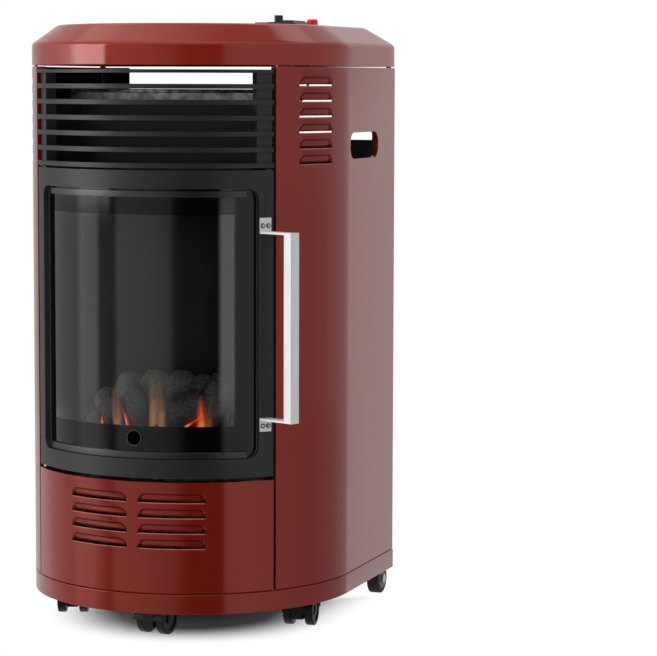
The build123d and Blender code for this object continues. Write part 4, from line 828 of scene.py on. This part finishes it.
# %% Shield hem
shield_low, shield_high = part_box("heat_shield")
hem_reach = cabinet_radius - 0.073
hem_half_depth, hem_half_height = 0.0013, 0.0024
hem_inset = 0.0006
hem_angle = np.linspace(0, 2 * np.pi, 16, endpoint=False)
hem_x = np.array([-1, -1, 1, 1])[:, None] * hem_reach
hem_size = np.array([0.0, 1.0, 1.0, 0.0])[:, None]    # the two ends close to a point
hem = np.stack([
    hem_x + 0 * hem_angle,
    shield_low.y + hem_inset + hem_size * hem_half_depth * np.cos(hem_angle),
    shield_high.z - hem_inset + hem_size * hem_half_height * np.sin(hem_angle),
], axis=2)
shield_hem = make_piece("shield_hem", hem, join_faces(*hem.shape[:2], closed=True), galvanised, "cabinet")
close_poles(shield_hem)

# %% [markdown]
# ## Screw heads
# The handle's four screws have low domed heads with a cross recess. A head is a disc of rings: its height is
# h (1 - (r/R)^4), less the depth of the cross, which narrows towards its four ends. The middle of each
# screw comes from the points of the solid, sorted by height and by side.

# %% Middles of the screws
screw_mesh = nodes["handle_screws"].data
screws = np.empty(3 * len(screw_mesh.vertices), dtype=np.float32)
screw_mesh.vertices.foreach_get("co", screws)
screws = screws.reshape(-1, 3).astype(float)
ahead_of_door = np.array([screws[:, 0].mean(), screws[:, 1].mean() - axis_y, 0.0])
ahead_of_door /= np.linalg.norm(ahead_of_door)
along_door = np.array([-ahead_of_door[1], ahead_of_door[0], 0.0])
upper = screws[:, 2] > screws[:, 2].mean()
outer_side = screws @ along_door > (screws @ along_door).mean()
flat_skin = 0.0004    # the flat head is the points this near the foremost one
screw_centres, screw_radii = [], []
for high, far_side in ((False, False), (False, True), (True, False), (True, True)):
    one = screws[(upper == high) & (outer_side == far_side)]
    reach = one @ ahead_of_door
    flat_head = one[reach > reach.max() - flat_skin]
    centre = (flat_head.max(axis=0) + flat_head.min(axis=0)) / 2
    screw_centres.append(centre + ahead_of_door * (reach.max() - centre @ ahead_of_door))
    screw_radii.append(np.ptp(flat_head @ along_door) / 2)
print("screw heads of", np.round(np.array(screw_radii) / MM, 2), "mm radius")

# %% Screw heads
dome_share = 0.86    # of the flat head's radius
head_rise, recess_depth = 0.0012, 0.0010
recess_width, recess_taper, recess_slope = 0.0005, 0.6, 0.0002
recess_end, recess_fade = 0.62, 0.06
head_rows, head_columns = 22, 64


def screw_head(centre, radius):
    """Points of one head: rise (1 - r^4) less the depth of the cross, r running from 0 to 1."""
    r = np.linspace(0, 1, head_rows)[:, None]
    angle = np.linspace(0, 2 * np.pi, head_columns, endpoint=False)[None, :]
    u, v = radius * r * np.cos(angle), radius * r * np.sin(angle)
    arm = recess_width * (1 - recess_taper * r)
    in_cross = np.clip((arm - np.minimum(abs(u), abs(v))) / recess_slope + 0.5, 0, 1)
    in_cross = in_cross * np.clip((recess_end - r) / recess_fade, 0, 1)
    height = head_rise * (1 - r ** 4) - recess_depth * in_cross
    return (centre + u[..., None] * along_door + v[..., None] * (0, 0, 1)
            + height[..., None] * ahead_of_door)


head_points = np.array([screw_head(centre, dome_share * radius)
                        for centre, radius in zip(screw_centres, screw_radii)])
one_head = join_faces(head_rows, head_columns, closed=True)
head_faces = np.concatenate([one_head + i * head_rows * head_columns for i in range(len(head_points))])
screw_heads = make_piece("screw_heads", head_points, head_faces, bright_steel, "door")
close_poles(screw_heads)

# %% [markdown]
# ## Ceramic coals
# The bed is a heap of cast ceramic lumps, rough and dark, like burnt coal. Each lump is a sphere in latitude
# and longitude whose radius is changed by a few cosine waves in random directions, then stretched. The
# waves are smooth, so the lump is knobbly and not spiky. They are heaped in three rows up the sloped tray.

# %% Coals
coal = Finish("ceramic_coal", Roughness=0.85)
ash = coal.noise(420.0, 5.0, 0.7).ramp(0.36, 0.66) * 0.6 + coal.noise(35.0, 2.0) * 0.4
coal.set(Base_Color=coal.colours(ash, (0.028, 0.0278, 0.0275), (0.30, 0.297, 0.292)))
coal.bump(coal.noise(420.0, 5.0, 0.6), 0.2, 0.001)

random = np.random.default_rng(7)
tray_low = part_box("burner_tray")[0]
lump_rows, lump_columns = 26, 40


def lump(centre, size):
    """Points of one closed lump: r = 1 + sum of a cos(k . n + phase) over unit directions n, times size."""
    latitude = np.linspace(0, np.pi, lump_rows)[:, None]
    longitude = np.linspace(0, 2 * np.pi, lump_columns, endpoint=False)[None, :]
    unit = np.stack([np.sin(latitude) * np.cos(longitude), np.sin(latitude) * np.sin(longitude),
                     np.cos(latitude) * np.ones_like(longitude)], axis=2)
    swell = np.ones(unit.shape[:2])
    for frequency, height in ((1.5, 0.06), (2.6, 0.035), (4.3, 0.014), (9.0, 0.006)):
        waves = random.normal(size=(3, 3)) * frequency
        phases = random.uniform(0, 2 * np.pi, 3)
        swell += height * np.cos(unit @ waves.T + phases).sum(axis=2) / 1.7
    return np.array(centre) + unit * swell[:, :, None] * np.array(size)


boulders = [  # x, distance behind the tray's front, height above its front edge, half sizes, in mm
    (-74, 5, 14, 15, 11, 13), (-46, 4, 15, 17, 11, 13), (-17, 5, 14, 16, 11, 12), (13, 4, 15, 17, 11, 13),
    (44, 5, 14, 17, 11, 12), (73, 5, 15, 16, 11, 13),
    (-74, 17, 26, 13, 12, 12), (-50, 14, 39, 15, 13, 18), (-18, 8, 50, 13, 13, 25), (14, 13, 42, 18, 13, 19),
    (51, 9, 45, 26, 17, 22), (76, 17, 52, 15, 14, 30),
    (-66, 33, 50, 18, 14, 17), (-36, 32, 64, 20, 15, 23), (-3, 31, 69, 21, 15, 22), (29, 32, 67, 21, 15, 23),
    (58, 31, 66, 18, 15, 22), (76, 33, 64, 14, 14, 25),
]
coal_points = np.array([
    lump((x * MM, tray_low.y + back * MM, tray_low.z + rise * MM), np.array(half) * MM)
    for x, back, rise, *half in boulders])
# latitude runs down from the pole, so the faces are turned over to point outwards
one_lump = join_faces(lump_rows, lump_columns, closed=True)[:, ::-1]
coal_faces = np.concatenate([one_lump + i * lump_rows * lump_columns for i in range(len(boulders))])
coals = make_piece("ceramic_coals", coal_points, coal_faces, coal, "cabinet")
close_poles(coals)
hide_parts("ceramic_stones")

# %% [markdown]
# ## Flames
# A flame is a thin leaf of light: wide at its root, rounded at its tip, and leaning a little. Each leaf is a
# strip whose half width follows w(t) = w0 sqrt(1 - t^2) (0.85 + 0.15 sin(pi t)), with its own UV. There are
# two finishes: tall pale flames that one sees through, and fierce low ones that glow red and yellow. Both
# fade out towards the tip and at both edges.

# %% Flame finishes


def flame_finish(name, outer, inner, solid):
    """Pure emission that runs from the outer colour at the edges to the inner one in the core.

    solid is how opaque the core is at its brightest licks."""
    made = Finish(name, Base_Color=(0.0, 0.0, 0.0), Roughness=1.0, Emission_Strength=1.0)
    made.set(Specular_IOR_Level=0.0)
    across, along, _ = made.axes(made.node("ShaderNodeTexCoord", out="UV"))
    core = 1 - (across - 0.5).maths("ABSOLUTE") * 2
    lick = made.noise(160.0, 3.0, 0.6, (1, 1, 0.25)).ramp(0.3, 0.7)
    heat = (core * 0.6 + lick * 0.6 - along * 0.45).ramp(0.2, 0.9)
    made.set(Emission_Color=made.colours(heat, outer, inner))
    made.set(Alpha=core.ramp(0.0, 0.5) * along.ramp(0.15, 1.0, 1.0, 0.0) * (lick * 0.3 + (solid - 0.3)))
    print(name, "from", outer, "to", inner)
    return made


pale_flame = flame_finish("pale_flame", (0.27, 0.11, 0.045), (0.37, 0.18, 0.088), 0.95)
fierce_flame = flame_finish("fierce_flame", (0.8, 0.02, 0.004), (1.0, 0.34, 0.07), 1.25)

# %% Flames
flame_rows, flame_columns = 24, 9


def leaf(root_x, root_z, tip_x, tip_z, ahead, half):
    """Grid of points of one flame, in mm from the front edge of the tray."""
    t = np.linspace(0, 1, flame_rows)[:, None]
    s = np.linspace(-1, 1, flame_columns)[None, :]
    width = half * np.sqrt(1 - t ** 2) * (0.85 + 0.15 * np.sin(np.pi * t))
    middle_x = root_x + (tip_x - root_x) * t ** 1.3 + 1.2 * np.sin(6 * t + root_x * 0.09) * t
    return np.stack([middle_x + s * width, -ahead + 4 * s ** 2 + 0 * t,
                     root_z + (tip_z - root_z) * t + 0 * s], axis=2)


def make_flames(name, finish, *places):
    """One piece from several leaves, each with its own UV: across from 0 to 1, along from root to tip."""
    grids = np.array([leaf(*place) for place in places]) * MM + (0, tray_low.y, tray_low.z)
    one_leaf = join_faces(flame_rows, flame_columns)
    faces = np.concatenate([one_leaf + i * flame_rows * flame_columns for i in range(len(places))])
    made = make_piece(name, grids, faces, finish, "cabinet")
    along, across = np.meshgrid(np.linspace(0, 1, flame_rows), np.linspace(0, 1, flame_columns),
                                indexing="ij")
    flat = np.tile(np.stack([across, along], axis=2).reshape(-1, 2), (len(places), 1))
    loop_points = np.empty(len(made.data.loops), dtype=np.int32)
    made.data.loops.foreach_get("vertex_index", loop_points)
    made.data.uv_layers.new(name="flame").data.foreach_set("uv", flat[loop_points].ravel())


# Each leaf: root x and height, tip x and height, distance ahead of the tray, half width, in mm.
make_flames("tall_flames", pale_flame, (-38, 14, -43, 92, 4, 8.0), (6.5, 14, 8.5, 102, 2, 7.8),
            (18.5, 14, 14, 96, 3, 7.4), (79, 14, 80, 62, 5, 6.0))
make_flames("low_flames", fierce_flame, (-21.5, 18, -33, 52, 8, 2.8), (-59, 24, -57, 38, 4, 2.2),
            (70, 14, 72, 70, 8, 8.2), (50, 24, 82, 46, 12, 4.2), (54, 19, 78, 34, 11, 3.6),
            (76, 14, 74, 44, 9, 4.0), (87, 16, 84, 34, 6, 2.2))
